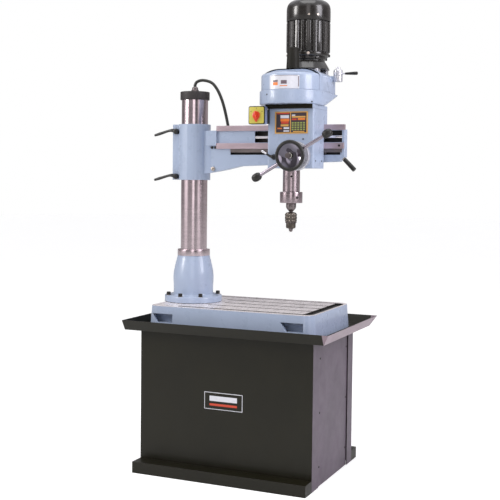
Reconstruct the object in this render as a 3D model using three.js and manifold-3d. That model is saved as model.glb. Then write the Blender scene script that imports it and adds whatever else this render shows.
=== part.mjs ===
// A small radial-arm drill press on a sheet-metal stand, in millimetres, with +Z up.
// The origin is on the floor, under the middle of the chip tray's rim.
// X runs along the radial arm, and the controls face -Y.
import * as THREE from "three";
import Module from "manifold-3d";
import { ConvexGeometry } from "three/addons/geometries/ConvexGeometry.js";
import { mergeVertices } from "three/addons/utils/BufferGeometryUtils.js";

const wasm = await Module();
wasm.setup();

// ---- Driving dimensions ----
const GAP = 0.3; // between two pieces that touch

// Stand: a folded sheet cabinet between two plinth rails, under a chip tray
const STAND = { left: -403, right: 373, front: -257.5, back: 244.5, top: 597, sheet: 3 };
const FRONT_RETURN = 77; // depth of the front pedestal's side returns
const REAR_RETURN = 66;
const PANEL_INSET = 4; // of the side panels behind the returns
const PANEL_FLANGE = 25;
const PLINTH = { depth: 69.7, height: 47, sheet: 3 };
const TRAY = { floor: STAND.top + GAP, rim: 640, sheet: 3 };
const TRAY_FLOOR = { left: -456, right: 432, front: -303.5, back: 293.5 };
const TRAY_RIM = { left: -457, right: 457, front: -327.5, back: 327.5 };

// Base casting with its T-slot table and coolant trough
const BASE = { bottom: TRAY.floor + TRAY.sheet + GAP, top: 699, wall: 14, ceiling: 668 };
const BASE_TOP = { left: -375, right: 359, front: -248.5, back: 235.5, corner: 45 };
const BASE_DRAFT = 8; // how much wider the casting's foot is, on each side
const TROUGH = { left: -253, right: 349, front: -218.5, back: 205.5, depth: 9, corner: 28 };
const TABLE = { right: 309, front: -199.5, back: 190, corner: 8 };
const T_SLOT = { pitch: 98, neck: 14, neckDepth: 11, width: 24, depth: 20, starts: [-165, -132, -165] };
const POCKET = { width: 97, low: 631, high: 667, slant: 25, lefts: [-354.5, 228.5], depth: 40 };

// Column and its foot
const COLUMN = { x: -285, y: -6.5, radius: 57.5, bore: 48, top: 1578.7 };
const BORE = COLUMN.radius + GAP; // running fit on the column
const FOOT = { flange: 125.5, flangeTop: 726, floor: 6, top: 900 };
const FOOT_BOLT = { circle: 111, head: 9, headHeight: 14, shank: 6, depth: 24 };
const FOOT_BOLT_DEGREES = [-140, -93.5, -47, 40, 86.5, 133]; // round the column
const COLLAR = { radius: 71, height: 26.7 };
const CAP = { radius: 64, height: 35, spigot: 18 };
const GLAND = { radius: 16.5, height: 22 };
const HOSE_RADIUS = 6.5;

// Radial arm: a split sleeve on the column, and a beam with two ground ways
const SLEEVE = { radius: 70, bottom: 1230.5, top: 1472, ear: 92, earHalf: 30, slot: 4 };
const CLAMP = { x: -353, heights: [1245, 1441], shank: 6, hub: 13, handle: 5.5, reach: 112.1, drop: 17 };
const ARM = { end: 421, root: -180, rootFront: -38, webFront: -58, back: -21.5, webTop: 1442 };
const WAY = { left: -151, front: -66.5, topBack: -44.5, topLow: 1440, topHigh: 1462 };
const LOWER_WAY = { low: 1364, high: 1388 };
const WINDOW = { left: 26, right: 411, low: 1390, high: 1438, back: -31 };
const GROOVE = { left: -87, low: 1339, back: -38 };
const ROOT_PAD = { left: -198, right: -150, low: 1378, front: -68 };
const CLAMP_BAR = { radius: 7.5, z: 1412.5, y: -50, socket: 5 };
const ARM_HANDLE = { radius: 9.5, length: 63, x: 413.7, z: 1324.3, y: -42, stud: 5, studLength: 10, seat: 3 };
const JUNCTION = { left: -92, right: -28, low: 1386, high: 1436, depth: 74 };

// Gear teeth, shared by both racks and both pinions
const TOOTH = { module: 3, count: 10, slimness: 0.18 };
const PITCH = Math.PI * TOOTH.module;
const PITCH_RADIUS = (TOOTH.module * TOOTH.count) / 2;
const TRAVERSE = { left: 150, right: 60 }; // how far the head runs each way, on toothed rack

// Head
const HEAD = { left: 137, right: 336, front: -187.5, back: -66.8, bottom: 1282, top: 1520.2 };
const HEAD_CORNER = 9;
const HOOK = { low: 1442.4, over: WAY.topHigh + GAP, front: WAY.topBack + GAP, back: -30 };
const SPINDLE = { x: 219.7, y: -126.5, radius: 16, spline: 12, top: 1752, shoulder: 1140.7 };
const MOTOR = { x: SPINDLE.x, y: 47.5, radius: 92 };
const HUB = { x: 267, z: 1330 }; // axis of the feed levers and of the handwheel
const CHART = { left: 170, right: 311, low: 1420, high: 1508, thick: 1.5 };
const LOCK = { x: 172, z: 1326, shaft: 6, hub: 12, handle: 4.5, tipX: 118, tipZ: 1352 };

// Quill, spindle nose, chuck and drill
const QUILL = { radius: 35, bottom: 1186.5, top: 1500, rackHalf: 11 };
const QUILL_COLLAR = { radius: 46, bottom: 1141 };
const NOSE = { radius: 20.5, taperTop: 1116, tip: 8, bottom: 1104 };
const CHUCK = { radius: 24.5, waist: 1065, sleeve: 20, bottom: 1036 };
const DRILL = { radius: 8, point: 1022, shankTop: 1058 };

// Belt drive, its guards and the motor on top
const GUARD_PLATE = { left: 130, right: 336, front: -200, top: 1536.7 };
const LOWER_GUARD = { radius: 133, motorRadius: 128, bottom: 1537, top: 1591.2, wall: 4 };
const UPPER_GUARD = { radius: 127, motorRadius: 116, bottom: 1591.5, seam: -151, wall: 4 };
const COVER_TOP = 1669;
const HOUSING_TOP = 1684;
const PULLEY = { radii: [75, 60, 45], bottom: 1598, step: 22, groove: 6, hub: 24, hubBottom: 1506 };
const BELT = { height: 11, thick: 8 };
const SPINDLE_CAP = { low: 26.5, high: 22, height: 86, wall: 4 };
const TENSION = { x: 357, y: 38.5, radius: 19, low: 1644, split: 1668, high: 1694, reach: 85, z: 1677 };
const PADS = { height: 12, half: 14, offset: 54 };
const MOUNT = { wide: 91, narrow: 70, shoulder: 1738, top: 1750, bore: 20 };
const MOTOR_FINS = { count: 20, depth: 6, low: 1768, high: 1904 };
const COWL = { radius: 92.4, bottom: 1907, shoulder: 1961, top: 1993, wall: 2.5 };

// Controls
const DIAL = { radius: 58, front: -212 };
const FEED_HUB = { radius: 30, front: -257.6, bore: 12 };
const LEVER = { y: -250, radius: 6.5, root: 24, knob: 152, knobRadius: 17, knobLength: 40 };
const LEVER_ANGLE = THREE.MathUtils.degToRad(30.2);
const HANDWHEEL = { y: -268.5, radius: 54.5, rim: 7.5, hub: 16, dish: 5 };
const SWITCH = { left: 71.4, right: 142.4, low: 1456.5, high: 1529.5, front: -230.5, back: -201.5 };
const SWITCH_KNOB = { radius: 16, depth: 17, pointer: 29 };

// ---- Materials ----
const paint = (color, roughness, metalness) =>
  new THREE.MeshStandardMaterial({ color, roughness, metalness });
const enamel = () => paint(0xa5b4cd, 0.35, 0.2);
const blackCoat = () => paint(0x2c2b29, 0.55, 0.2);
const groundSteel = () => paint(0xb9aeb0, 0.3, 0.9);
const chrome = () => paint(0xd8d8dc, 0.12, 1);
const blackPlastic = () => paint(0x1d1d1c, 0.45, 0);

// ---- Shapes ----
// Every helper gives a closed solid, placed in the part's own frame.
function solid(geometry) {
  const bare = geometry.index ? geometry.toNonIndexed() : geometry.clone();
  bare.deleteAttribute("normal");
  bare.deleteAttribute("uv");
  const merged = mergeVertices(bare, 1e-4);
  return new wasm.Manifold(
    new wasm.Mesh({
      numProp: 3,
      vertProperties: new Float32Array(merged.attributes.position.array),
      triVerts: new Uint32Array(merged.index.array),
    }),
  );
}

function joined(...solids) {
  return solids.reduce((whole, next) => whole.add(next));
}

function box(left, right, front, back, low, high) {
  const geometry = new THREE.BoxGeometry(right - left, back - front, high - low);
  return solid(geometry.translate((left + right) / 2, (front + back) / 2, (low + high) / 2));
}

// An outline in X and Y, carried from one height to another
function prism(shape, low, high, curveSegments = 8) {
  const options = { depth: high - low, bevelEnabled: false, curveSegments };
  return solid(new THREE.ExtrudeGeometry(shape, options).translate(0, 0, low));
}

// An outline in X and Z, carried from one depth to another
function slab(shape, front, back, curveSegments = 8) {
  const options = { depth: back - front, bevelEnabled: false, curveSegments };
  const geometry = new THREE.ExtrudeGeometry(shape, options).rotateX(Math.PI / 2);
  return solid(geometry.translate(0, back, 0));
}

function outline(points) {
  return new THREE.Shape(points.map(([x, y]) => new THREE.Vector2(x, y)));
}

function roundedRectangle({ left, right, front, back, corner }) {
  const shape = new THREE.Shape();
  shape.moveTo(right, front + corner);
  shape.absarc(right - corner, back - corner, corner, 0, Math.PI / 2);
  shape.absarc(left + corner, back - corner, corner, Math.PI / 2, Math.PI);
  shape.absarc(left + corner, front + corner, corner, Math.PI, Math.PI * 1.5);
  shape.absarc(right - corner, front + corner, corner, Math.PI * 1.5, Math.PI * 2);
  return shape;
}

function grown({ left, right, front, back, corner }, by) {
  return {
    left: left - by,
    right: right + by,
    front: front - by,
    back: back + by,
    corner: Math.max(corner + by, 1),
  };
}

// A profile of radius and height, turned about a vertical axis
function turned(profile, x, y, segments = 28) {
  const points = profile.map(([radius, height]) => new THREE.Vector2(radius, height));
  return solid(new THREE.LatheGeometry(points, segments).rotateX(Math.PI / 2).translate(x, y, 0));
}

// A profile of radius and depth, turned about an axis that runs along Y
function turnedY(profile, x, z, segments = 28) {
  const points = profile.map(([radius, depth]) => new THREE.Vector2(radius, depth));
  return solid(new THREE.LatheGeometry(points, segments).translate(x, 0, z));
}

function post(radius, low, high, x, y, segments = 24) {
  return turned([[0, low], [radius, low], [radius, high], [0, high]], x, y, segments);
}

function pin(radius, front, back, x, z, segments = 16) {
  return turnedY([[0, front], [radius, front], [radius, back], [0, back]], x, z, segments);
}

function sleeve(inner, outer, low, high, x, y, segments = 32) {
  const profile = [[inner, low], [outer, low], [outer, high], [inner, high], [inner, low]];
  return turned(profile, x, y, segments);
}

// A round rod between two points
function rod(radius, from, to, segments = 12) {
  const start = new THREE.Vector3(...from);
  const along = new THREE.Vector3(...to).sub(start);
  const geometry = new THREE.CylinderGeometry(radius, radius, along.length(), segments);
  geometry.translate(0, along.length() / 2, 0);
  const up = new THREE.Vector3(0, 1, 0);
  geometry.applyQuaternion(new THREE.Quaternion().setFromUnitVectors(up, along.normalize()));
  return solid(geometry.translate(start.x, start.y, start.z));
}

function rectangleRing({ left, right, front, back }, height) {
  return [[left, front], [right, front], [right, back], [left, back]].map(
    ([x, y]) => new THREE.Vector3(x, y, height),
  );
}

function ringOf(shape, height, divisions = 6) {
  return shape.getPoints(divisions).map(({ x, y }) => new THREE.Vector3(x, y, height));
}

function hull(...rings) {
  return solid(new ConvexGeometry(rings.flat()));
}

// The outline of a belt guard: one circle round the spindle and one round the motor shaft
function guardOutline(spindleRadius, motorRadius) {
  const shape = new THREE.Shape();
  const lean = Math.asin((spindleRadius - motorRadius) / (MOTOR.y - SPINDLE.y));
  shape.absarc(SPINDLE.x, SPINDLE.y, spindleRadius, Math.PI - lean, Math.PI * 2 + lean);
  shape.absarc(MOTOR.x, MOTOR.y, motorRadius, lean, Math.PI - lean);
  return shape;
}

// ---- Scene graph ----
const drillPress = new THREE.Group();

function place(name, body, material) {
  const { vertProperties, triVerts } = body.getMesh();
  const geometry = new THREE.BufferGeometry();
  geometry.setAttribute("position", new THREE.BufferAttribute(new Float32Array(vertProperties), 3));
  geometry.setIndex(new THREE.BufferAttribute(new Uint32Array(triVerts), 1));
  const mesh = new THREE.Mesh(geometry, material);
  mesh.name = name;
  drillPress.add(mesh);
}

// ---- Stand ----
function pedestal(face, back, towards) {
  const inner = face + towards * STAND.sheet;
  return outline([
    [STAND.left, face],
    [STAND.right, face],
    [STAND.right, back],
    [STAND.right - STAND.sheet, back],
    [STAND.right - STAND.sheet, inner],
    [STAND.left + STAND.sheet, inner],
    [STAND.left + STAND.sheet, back],
    [STAND.left, back],
  ]);
}

function sidePanel(outerX, inwards) {
  const front = STAND.front + FRONT_RETURN + 1;
  const back = STAND.back - REAR_RETURN - 1;
  const face = outerX + inwards * STAND.sheet;
  const edge = outerX + inwards * PANEL_FLANGE;
  return outline([
    [outerX, front],
    [outerX, back],
    [edge, back],
    [edge, back - STAND.sheet],
    [face, back - STAND.sheet],
    [face, front + STAND.sheet],
    [edge, front + STAND.sheet],
    [edge, front],
  ]);
}

function plinth(front, back, openFront, openBack) {
  const wall = PLINTH.sheet;
  const rail = box(STAND.left, STAND.right, front, back, 0, PLINTH.height);
  const hollow = [STAND.left + wall, STAND.right - wall, openFront, openBack];
  return rail.subtract(box(...hollow, wall, PLINTH.height - wall));
}

function addStand() {
  const frontShape = pedestal(STAND.front, STAND.front + FRONT_RETURN, 1);
  const rearShape = pedestal(STAND.back, STAND.back - REAR_RETURN, -1);
  const leftShape = sidePanel(STAND.left + PANEL_INSET, 1);
  const rightShape = sidePanel(STAND.right - PANEL_INSET, -1);
  place("front_pedestal", prism(frontShape, 0, STAND.top), blackCoat());
  place("rear_pedestal", prism(rearShape, 0, STAND.top), blackCoat());
  place("left_side_panel", prism(leftShape, 0, STAND.top), blackCoat());
  place("right_side_panel", prism(rightShape, 0, STAND.top), blackCoat());
  const front = STAND.front - GAP;
  const back = STAND.back + GAP;
  const wall = PLINTH.sheet;
  const frontRail = plinth(front - PLINTH.depth, front, front - PLINTH.depth + wall, front + 1);
  const rearRail = plinth(back, back + PLINTH.depth, back - 1, back + PLINTH.depth - wall);
  place("front_plinth", frontRail, blackCoat());
  place("rear_plinth", rearRail, blackCoat());
}

function shrunk({ left, right, front, back }, by) {
  return { left: left + by, right: right - by, front: front + by, back: back - by };
}

function addTray() {
  const outer = hull(rectangleRing(TRAY_FLOOR, TRAY.floor), rectangleRing(TRAY_RIM, TRAY.rim));
  const inner = hull(
    rectangleRing(shrunk(TRAY_FLOOR, TRAY.sheet), TRAY.floor + TRAY.sheet),
    rectangleRing(shrunk(TRAY_RIM, TRAY.sheet), TRAY.rim + 1),
  );
  place("chip_tray", outer.subtract(inner), blackCoat());
}

// ---- Base casting ----
function boltCircle() {
  return FOOT_BOLT_DEGREES.map((degrees) => {
    const angle = THREE.MathUtils.degToRad(degrees);
    return {
      x: COLUMN.x + FOOT_BOLT.circle * Math.cos(angle),
      y: COLUMN.y + FOOT_BOLT.circle * Math.sin(angle),
    };
  });
}

function troughCut() {
  const floor = BASE.top - TROUGH.depth;
  const around = prism(roundedRectangle({ ...TROUGH, left: TROUGH.left - 60 }), floor, BASE.top + 1, 5);
  const middle = { ...TABLE, left: TROUGH.left - 60 };
  const table = prism(roundedRectangle(middle), floor - 1, BASE.top + 2, 3);
  const ring = around.subtract(table);
  const past = box(TROUGH.left - 80, TROUGH.left, TROUGH.front - 5, TROUGH.back + 5, 0, BASE.top + 5);
  return ring.subtract(past);
}

function tSlotCut(row) {
  const y = COLUMN.y + (row - 1) * T_SLOT.pitch;
  const ends = [T_SLOT.starts[row], TABLE.right + 2];
  const neckLow = BASE.top - T_SLOT.neckDepth;
  const neck = box(...ends, y - T_SLOT.neck / 2, y + T_SLOT.neck / 2, neckLow - 1, BASE.top + 1);
  const low = BASE.top - T_SLOT.depth;
  return neck.add(box(...ends, y - T_SLOT.width / 2, y + T_SLOT.width / 2, low, neckLow));
}

function pocketCut(left) {
  const shape = outline([
    [left + POCKET.slant, POCKET.low],
    [left + POCKET.width, POCKET.low],
    [left + POCKET.width, POCKET.high],
    [left, POCKET.high],
  ]);
  return slab(shape, BASE_TOP.front - BASE_DRAFT - 1, BASE_TOP.front + POCKET.depth);
}

function addBase() {
  const top = roundedRectangle(BASE_TOP);
  const foot = roundedRectangle(grown(BASE_TOP, BASE_DRAFT));
  const roof = roundedRectangle(grown(BASE_TOP, -BASE.wall));
  const opening = roundedRectangle(grown(BASE_TOP, BASE_DRAFT - BASE.wall));
  const cuts = [
    hull(ringOf(opening, BASE.bottom - 1), ringOf(roof, BASE.ceiling)),
    troughCut(),
    ...[0, 1, 2].map(tSlotCut),
    ...POCKET.lefts.map(pocketCut),
    ...boltCircle().map(({ x, y }) =>
      post(FOOT_BOLT.shank + GAP, FOOT.flangeTop - FOOT_BOLT.depth - 20, BASE.top + 1, x, y, 6),
    ),
  ];
  const outer = hull(ringOf(foot, BASE.bottom), ringOf(top, BASE.top));
  place("base_casting", cuts.reduce((body, cut) => body.subtract(cut), outer), enamel());
}

// ---- Column ----
function addColumnFoot() {
  const low = BASE.top + GAP;
  const floor = low + FOOT.floor;
  const profile = [
    [0, low], [FOOT.flange, low], [FOOT.flange, FOOT.flangeTop - 3], [FOOT.flange - 3, FOOT.flangeTop],
    [91, FOOT.flangeTop], [87.5, 732], [86.8, 761], [88.6, 800], [86.8, 827], [82.6, 849], [77.5, 871],
    [71.8, 893], [71, FOOT.top],
    [BORE, FOOT.top], [BORE, floor], [0, floor],
  ];
  const holes = boltCircle().map(({ x, y }) =>
    post(FOOT_BOLT.shank + GAP, low - 1, FOOT.flangeTop + 1, x, y, 6),
  );
  const body = turned(profile, COLUMN.x, COLUMN.y, 32);
  place("column_foot", holes.reduce((foot, hole) => foot.subtract(hole), body), enamel());
}

function addFootBolts() {
  boltCircle().forEach(({ x, y }, i) => {
    const seat = FOOT.flangeTop + GAP;
    const head = post(FOOT_BOLT.head, seat, seat + FOOT_BOLT.headHeight, x, y, 10);
    const shank = post(FOOT_BOLT.shank, FOOT.flangeTop - FOOT_BOLT.depth - 15, seat + 1, x, y, 6);
    place(`foot_bolt_${i + 1}`, head.add(shank), blackCoat());
  });
}

function addColumn() {
  const { x, y } = COLUMN;
  const floor = BASE.top + FOOT.floor + 2 * GAP;
  place("column_tube", sleeve(COLUMN.bore, COLUMN.radius, floor, COLUMN.top, x, y), groundSteel());
  const collarLow = FOOT.top + GAP;
  const collar = sleeve(BORE, COLLAR.radius, collarLow, collarLow + COLLAR.height, x, y);
  place("column_collar", collar, groundSteel());
  const capLow = COLUMN.top + GAP;
  const capTop = capLow + CAP.height;
  const cap = turned(
    [
      [0, capLow - CAP.spigot], [COLUMN.bore - GAP, capLow - CAP.spigot], [COLUMN.bore - GAP, capLow],
      [CAP.radius, capLow], [CAP.radius, capTop - 4], [CAP.radius - 4, capTop], [0, capTop],
    ],
    x,
    y,
  );
  place("column_cap", cap, blackPlastic());
  const glandLow = capTop + GAP;
  const gland = turned(
    [
      [0, glandLow], [GLAND.radius, glandLow], [GLAND.radius, glandLow + 9],
      [GLAND.radius - 3, glandLow + 10],
      [GLAND.radius - 3, glandLow + GLAND.height - 3], [GLAND.radius - 6, glandLow + GLAND.height],
      [0, glandLow + GLAND.height],
    ],
    x,
    y,
    16,
  );
  place("conduit_gland", gland, blackPlastic());
}

// The conduit leaves the gland upwards, bends over behind the arm, and comes up into the junction box.
function addConduit() {
  const top = COLUMN.top + CAP.height + GLAND.height + 3 * GAP;
  const boxX = (JUNCTION.left + JUNCTION.right) / 2;
  const boxY = ARM.back + JUNCTION.depth - 20;
  const route = new THREE.CatmullRomCurve3(
    [
      [COLUMN.x, COLUMN.y, top],
      [COLUMN.x, COLUMN.y, top + 8],
      [COLUMN.x + 9, COLUMN.y + 1, top + 22],
      [-251, 0, 1665],
      [-217, 6, 1657],
      [-197, 14, 1638],
      [-177, 22, 1600],
      [-160, 29, 1546],
      [-145, 36, 1472],
      [-134, 41, 1400],
      [-119, boxY - 1, 1330],
      [-90, boxY, 1297],
      [boxX - 3, boxY, 1326],
      [boxX, boxY, JUNCTION.low - 12],
      [boxX, boxY, JUNCTION.low - GAP],
    ].map((point) => new THREE.Vector3(...point)),
  );
  const section = new THREE.Shape();
  section.absarc(0, 0, HOSE_RADIUS, 0, Math.PI * 2);
  const options = { steps: 30, curveSegments: 4, extrudePath: route, bevelEnabled: false };
  place("conduit_hose", solid(new THREE.ExtrudeGeometry(section, options)), blackPlastic());
  const { left, right, low, high, depth } = JUNCTION;
  const front = ARM.back + GAP;
  place("junction_box", box(left, right, front, front + depth, low, high), blackPlastic());
}

// ---- Radial arm ----
function armWebOutline() {
  return outline([
    [COLUMN.x, 1252],
    [-215, 1258],
    [-162, 1266],
    [-110, 1275],
    [-40, 1291],
    [89, 1296],
    [338, 1309],
    [399, 1311],
    [ARM.end, 1331],
    [ARM.end, ARM.webTop],
    [COLUMN.x, ARM.webTop],
  ]);
}

function armCuts() {
  const slotHalf = SLEEVE.slot / 2;
  const sleeveEnds = [SLEEVE.bottom - 1, SLEEVE.top + 1];
  const slot = [COLUMN.x - SLEEVE.ear - 1, COLUMN.x - BORE + 4, COLUMN.y - slotHalf, COLUMN.y + slotHalf];
  const barSocket = (x) => [x, CLAMP_BAR.y, CLAMP_BAR.z];
  const barLeft = barSocket(WINDOW.left - CLAMP_BAR.socket);
  const barRight = barSocket(WINDOW.right + CLAMP_BAR.socket);
  return [
    post(BORE, ...sleeveEnds, COLUMN.x, COLUMN.y, 32),
    box(...slot, ...sleeveEnds),
    box(WINDOW.left, WINDOW.right, WAY.front - 5, WINDOW.back, WINDOW.low, WINDOW.high),
    box(GROOVE.left, ARM.end + 1, WAY.front - 5, GROOVE.back, GROOVE.low, LOWER_WAY.low),
    rod(CLAMP_BAR.radius + GAP, barLeft, barRight),
    ...CLAMP.heights.flatMap(clampSeatCuts),
    armHandleRod(ARM_HANDLE.stud + GAP, -ARM_HANDLE.studLength - GAP, 12),
  ];
}

// A clearance hole through the ear, with a flat seat at each end
function clampSeatCuts(z) {
  const front = COLUMN.y - SLEEVE.earHalf;
  const back = COLUMN.y + SLEEVE.earHalf;
  const seat = CLAMP.hub + 2;
  return [
    pin(CLAMP.shank + GAP, front - 1, back + 1, CLAMP.x, z, 12),
    pin(seat, front - 40, front, CLAMP.x, z),
    pin(seat, back, back + 40, CLAMP.x, z),
  ];
}

function addArm() {
  const barrel = post(SLEEVE.radius, SLEEVE.bottom, SLEEVE.top, COLUMN.x, COLUMN.y, 32);
  const earEdges = [COLUMN.x - SLEEVE.ear, COLUMN.x, COLUMN.y - SLEEVE.earHalf, COLUMN.y + SLEEVE.earHalf];
  const besideEnds = [COLUMN.x - 1, ARM.root, ARM.webFront - 1, ARM.rootFront];
  const besideSleeve = box(...besideEnds, SLEEVE.bottom, SLEEVE.top);
  const body = joined(
    barrel,
    box(...earEdges, SLEEVE.bottom, SLEEVE.top),
    slab(armWebOutline(), ARM.webFront, ARM.back).subtract(besideSleeve),
    box(WAY.left, ARM.end, WAY.front, WAY.topBack, WAY.topLow, WAY.topHigh),
    box(WAY.left, ARM.end, WAY.front, ARM.webFront + 5, LOWER_WAY.low, LOWER_WAY.high),
    box(ROOT_PAD.left, ROOT_PAD.right, ROOT_PAD.front, ARM.rootFront + 5, ROOT_PAD.low, ARM.webTop),
  );
  place("radial_arm", armCuts().reduce((arm, cut) => arm.subtract(cut), body), enamel());
}

// The rod of the arm's pull handle, from a distance inside its seat to a distance outside, along 45 degrees
function armHandleRod(radius, from, to) {
  const along = Math.SQRT1_2;
  const at = (distance) => [ARM_HANDLE.x + along * distance, ARM_HANDLE.y, ARM_HANDLE.z - along * distance];
  return rod(radius, at(from), at(to));
}

function addArmFittings() {
  const barEnds = [WINDOW.left - CLAMP_BAR.socket + GAP, WINDOW.right + CLAMP_BAR.socket - GAP];
  const bar = barEnds.map((x) => [x, CLAMP_BAR.y, CLAMP_BAR.z]);
  place("clamp_bar", rod(CLAMP_BAR.radius, ...bar, 20), chrome());
  const grip = armHandleRod(ARM_HANDLE.radius, ARM_HANDLE.seat, ARM_HANDLE.seat + ARM_HANDLE.length);
  const stud = armHandleRod(ARM_HANDLE.stud, -ARM_HANDLE.studLength, ARM_HANDLE.seat + 5);
  place("arm_handle", grip.add(stud), blackPlastic());
}

// Clamp bolts squeeze the split ear; each carries a cranked lever that points away from the arm.
function addClampLevers() {
  const names = ["lower_clamp_lever", "upper_clamp_lever"];
  const ear = { front: COLUMN.y - SLEEVE.earHalf, back: COLUMN.y + SLEEVE.earHalf };
  CLAMP.heights.forEach((z, i) => {
    const hubFront = ear.front - 18;
    const kneeY = ear.front - 22;
    const tip = [CLAMP.x - CLAMP.reach, ear.front - 12, z - CLAMP.drop];
    const knee = [CLAMP.x - 24, kneeY, z + 4];
    const body = joined(
      pin(CLAMP.shank, hubFront, ear.back + 14, CLAMP.x, z, 12),
      pin(CLAMP.hub, hubFront, ear.front - GAP, CLAMP.x, z, 16),
      pin(CLAMP.hub - 2, ear.back + GAP, ear.back + 12, CLAMP.x, z, 6),
      rod(8, [CLAMP.x, hubFront + 6, z + 1], knee),
      rod(CLAMP.handle, [knee[0] + 6, knee[1], knee[2] + 1], tip),
    );
    place(names[i], body, blackPlastic());
  });
}

// ---- Rack and pinion teeth ----
// A tooth's half width at a height above the pitch line, for flanks of 20 degrees
function toothHalf(height) {
  return TOOTH.slimness * PITCH - height * Math.tan(Math.PI / 9);
}

const TIP = 0.85 * TOOTH.module;
const ROOT = -1.25 * TOOTH.module;

function pinionOutline(bore, turn) {
  const shape = new THREE.Shape();
  const corners = [[ROOT, -1], [TIP, -1], [TIP, 1], [ROOT, 1]];
  for (let i = 0; i < TOOTH.count; i += 1) {
    const middle = turn + (i * 2 * Math.PI) / TOOTH.count;
    corners.forEach(([height, side], corner) => {
      const radius = PITCH_RADIUS + height;
      const angle = middle + (side * toothHalf(height)) / radius;
      const point = [radius * Math.cos(angle), radius * Math.sin(angle)];
      if (i === 0 && corner === 0) shape.moveTo(...point);
      else shape.lineTo(...point);
    });
  }
  if (bore) {
    const hole = new THREE.Path();
    hole.absarc(0, 0, bore, 0, Math.PI * 2);
    shape.holes.push(hole);
  }
  return shape;
}

function pinion(front, back, bore, turn) {
  return slab(pinionOutline(bore, turn), front, back, 5).translate([HUB.x, 0, HUB.z]);
}

function addTraverseRack() {
  const pitchLine = HUB.z + PITCH_RADIUS;
  const left = GROOVE.left + 2;
  const right = WINDOW.right;
  const top = LOWER_WAY.low - GAP;
  const points = [[right, top], [left, top], [left, pitchLine - ROOT]];
  const first = -Math.ceil(TRAVERSE.left / PITCH) - 1;
  const last = Math.ceil(TRAVERSE.right / PITCH) + 1;
  for (let i = first; i <= last; i += 1) {
    const middle = HUB.x + i * PITCH;
    points.push([middle - toothHalf(ROOT), pitchLine - ROOT]);
    points.push([middle - toothHalf(TIP), pitchLine - TIP]);
    points.push([middle + toothHalf(TIP), pitchLine - TIP]);
    points.push([middle + toothHalf(ROOT), pitchLine - ROOT]);
  }
  points.push([right, pitchLine - ROOT]);
  place("traverse_rack", slab(outline(points.reverse()), -64, -50), groundSteel());
}

// ---- Head ----
function headBody() {
  const plan = new THREE.Shape();
  plan.moveTo(HEAD.left, HEAD.back);
  plan.lineTo(HEAD.left, HEAD.front + HEAD_CORNER);
  plan.absarc(HEAD.left + HEAD_CORNER, HEAD.front + HEAD_CORNER, HEAD_CORNER, Math.PI, Math.PI * 1.5);
  plan.absarc(HEAD.right - HEAD_CORNER, HEAD.front + HEAD_CORNER, HEAD_CORNER, Math.PI * 1.5, Math.PI * 2);
  plan.lineTo(HEAD.right, HEAD.back);
  return joined(
    prism(plan, HEAD.bottom, HEAD.top, 4),
    box(HEAD.left, HEAD.right, HEAD.back - 2, HOOK.back, HOOK.over, HEAD.top),
    box(HEAD.left, HEAD.right, HOOK.front, HOOK.back, HOOK.low, HOOK.over + 2),
  );
}

function addHead() {
  const feedBore = PITCH_RADIUS + TIP + 1;
  const cuts = [
    post(QUILL.radius + GAP, HEAD.bottom - 1, QUILL.top + 3, SPINDLE.x, SPINDLE.y, 28),
    post(PULLEY.hub + GAP, QUILL.top, HEAD.top + 1, SPINDLE.x, SPINDLE.y),
    pin(feedBore, HEAD.front - 1, SPINDLE.y + 12, HUB.x, HUB.z, 24),
    pin(6 + GAP, SPINDLE.y, HEAD.back + 1, HUB.x, HUB.z, 16),
    pin(LOCK.shaft + GAP, HEAD.front - 1, HEAD.back + 1, LOCK.x, LOCK.z, 12),
  ];
  place("head_casting", cuts.reduce((head, cut) => head.subtract(cut), headBody()), enamel());
  const chartBack = HEAD.front - GAP;
  const chart = box(CHART.left, CHART.right, chartBack - CHART.thick, chartBack, CHART.low, CHART.high);
  place("speed_chart_plate", chart, chrome());
}

function addHeadLock() {
  const seat = HEAD.front - GAP;
  const body = joined(
    pin(LOCK.shaft, seat - 20, HEAD.back + 0.2, LOCK.x, LOCK.z, 12),
    turnedY([[0, seat - 26], [7, seat - 26], [LOCK.hub, seat], [0, seat]], LOCK.x, LOCK.z, 16),
    rod(LOCK.handle, [LOCK.x - 2, seat - 18, LOCK.z + 1], [LOCK.x - 28, seat - 21, LOCK.z + 15], 10),
    rod(LOCK.handle, [LOCK.x - 25, seat - 21, LOCK.z + 14], [LOCK.tipX, seat - 24, LOCK.tipZ], 10),
  );
  place("head_lock_lever", body, chrome());
}

function addSwitch() {
  const { left, right, low, high, front, back } = SWITCH;
  const bracketFront = back + GAP;
  const bracket = box(left + 4, right + 4, bracketFront, HEAD.front - GAP, low + 3, high - 12);
  place("switch_bracket", bracket, blackCoat());
  place("switch_box", box(left, right, front, back, low, high), paint(0xe8c63a, 0.5, 0));
  const x = (left + right) / 2;
  const z = (low + high) / 2;
  const seat = front - GAP;
  const grip = box(x - 5, x + 5, seat - SWITCH_KNOB.depth, seat - 4, z - SWITCH_KNOB.pointer, z + 12);
  const knob = pin(SWITCH_KNOB.radius, seat - SWITCH_KNOB.depth + 4, seat, x, z, 20).add(grip);
  place("switch_knob", knob, paint(0xc83322, 0.45, 0));
}

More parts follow.
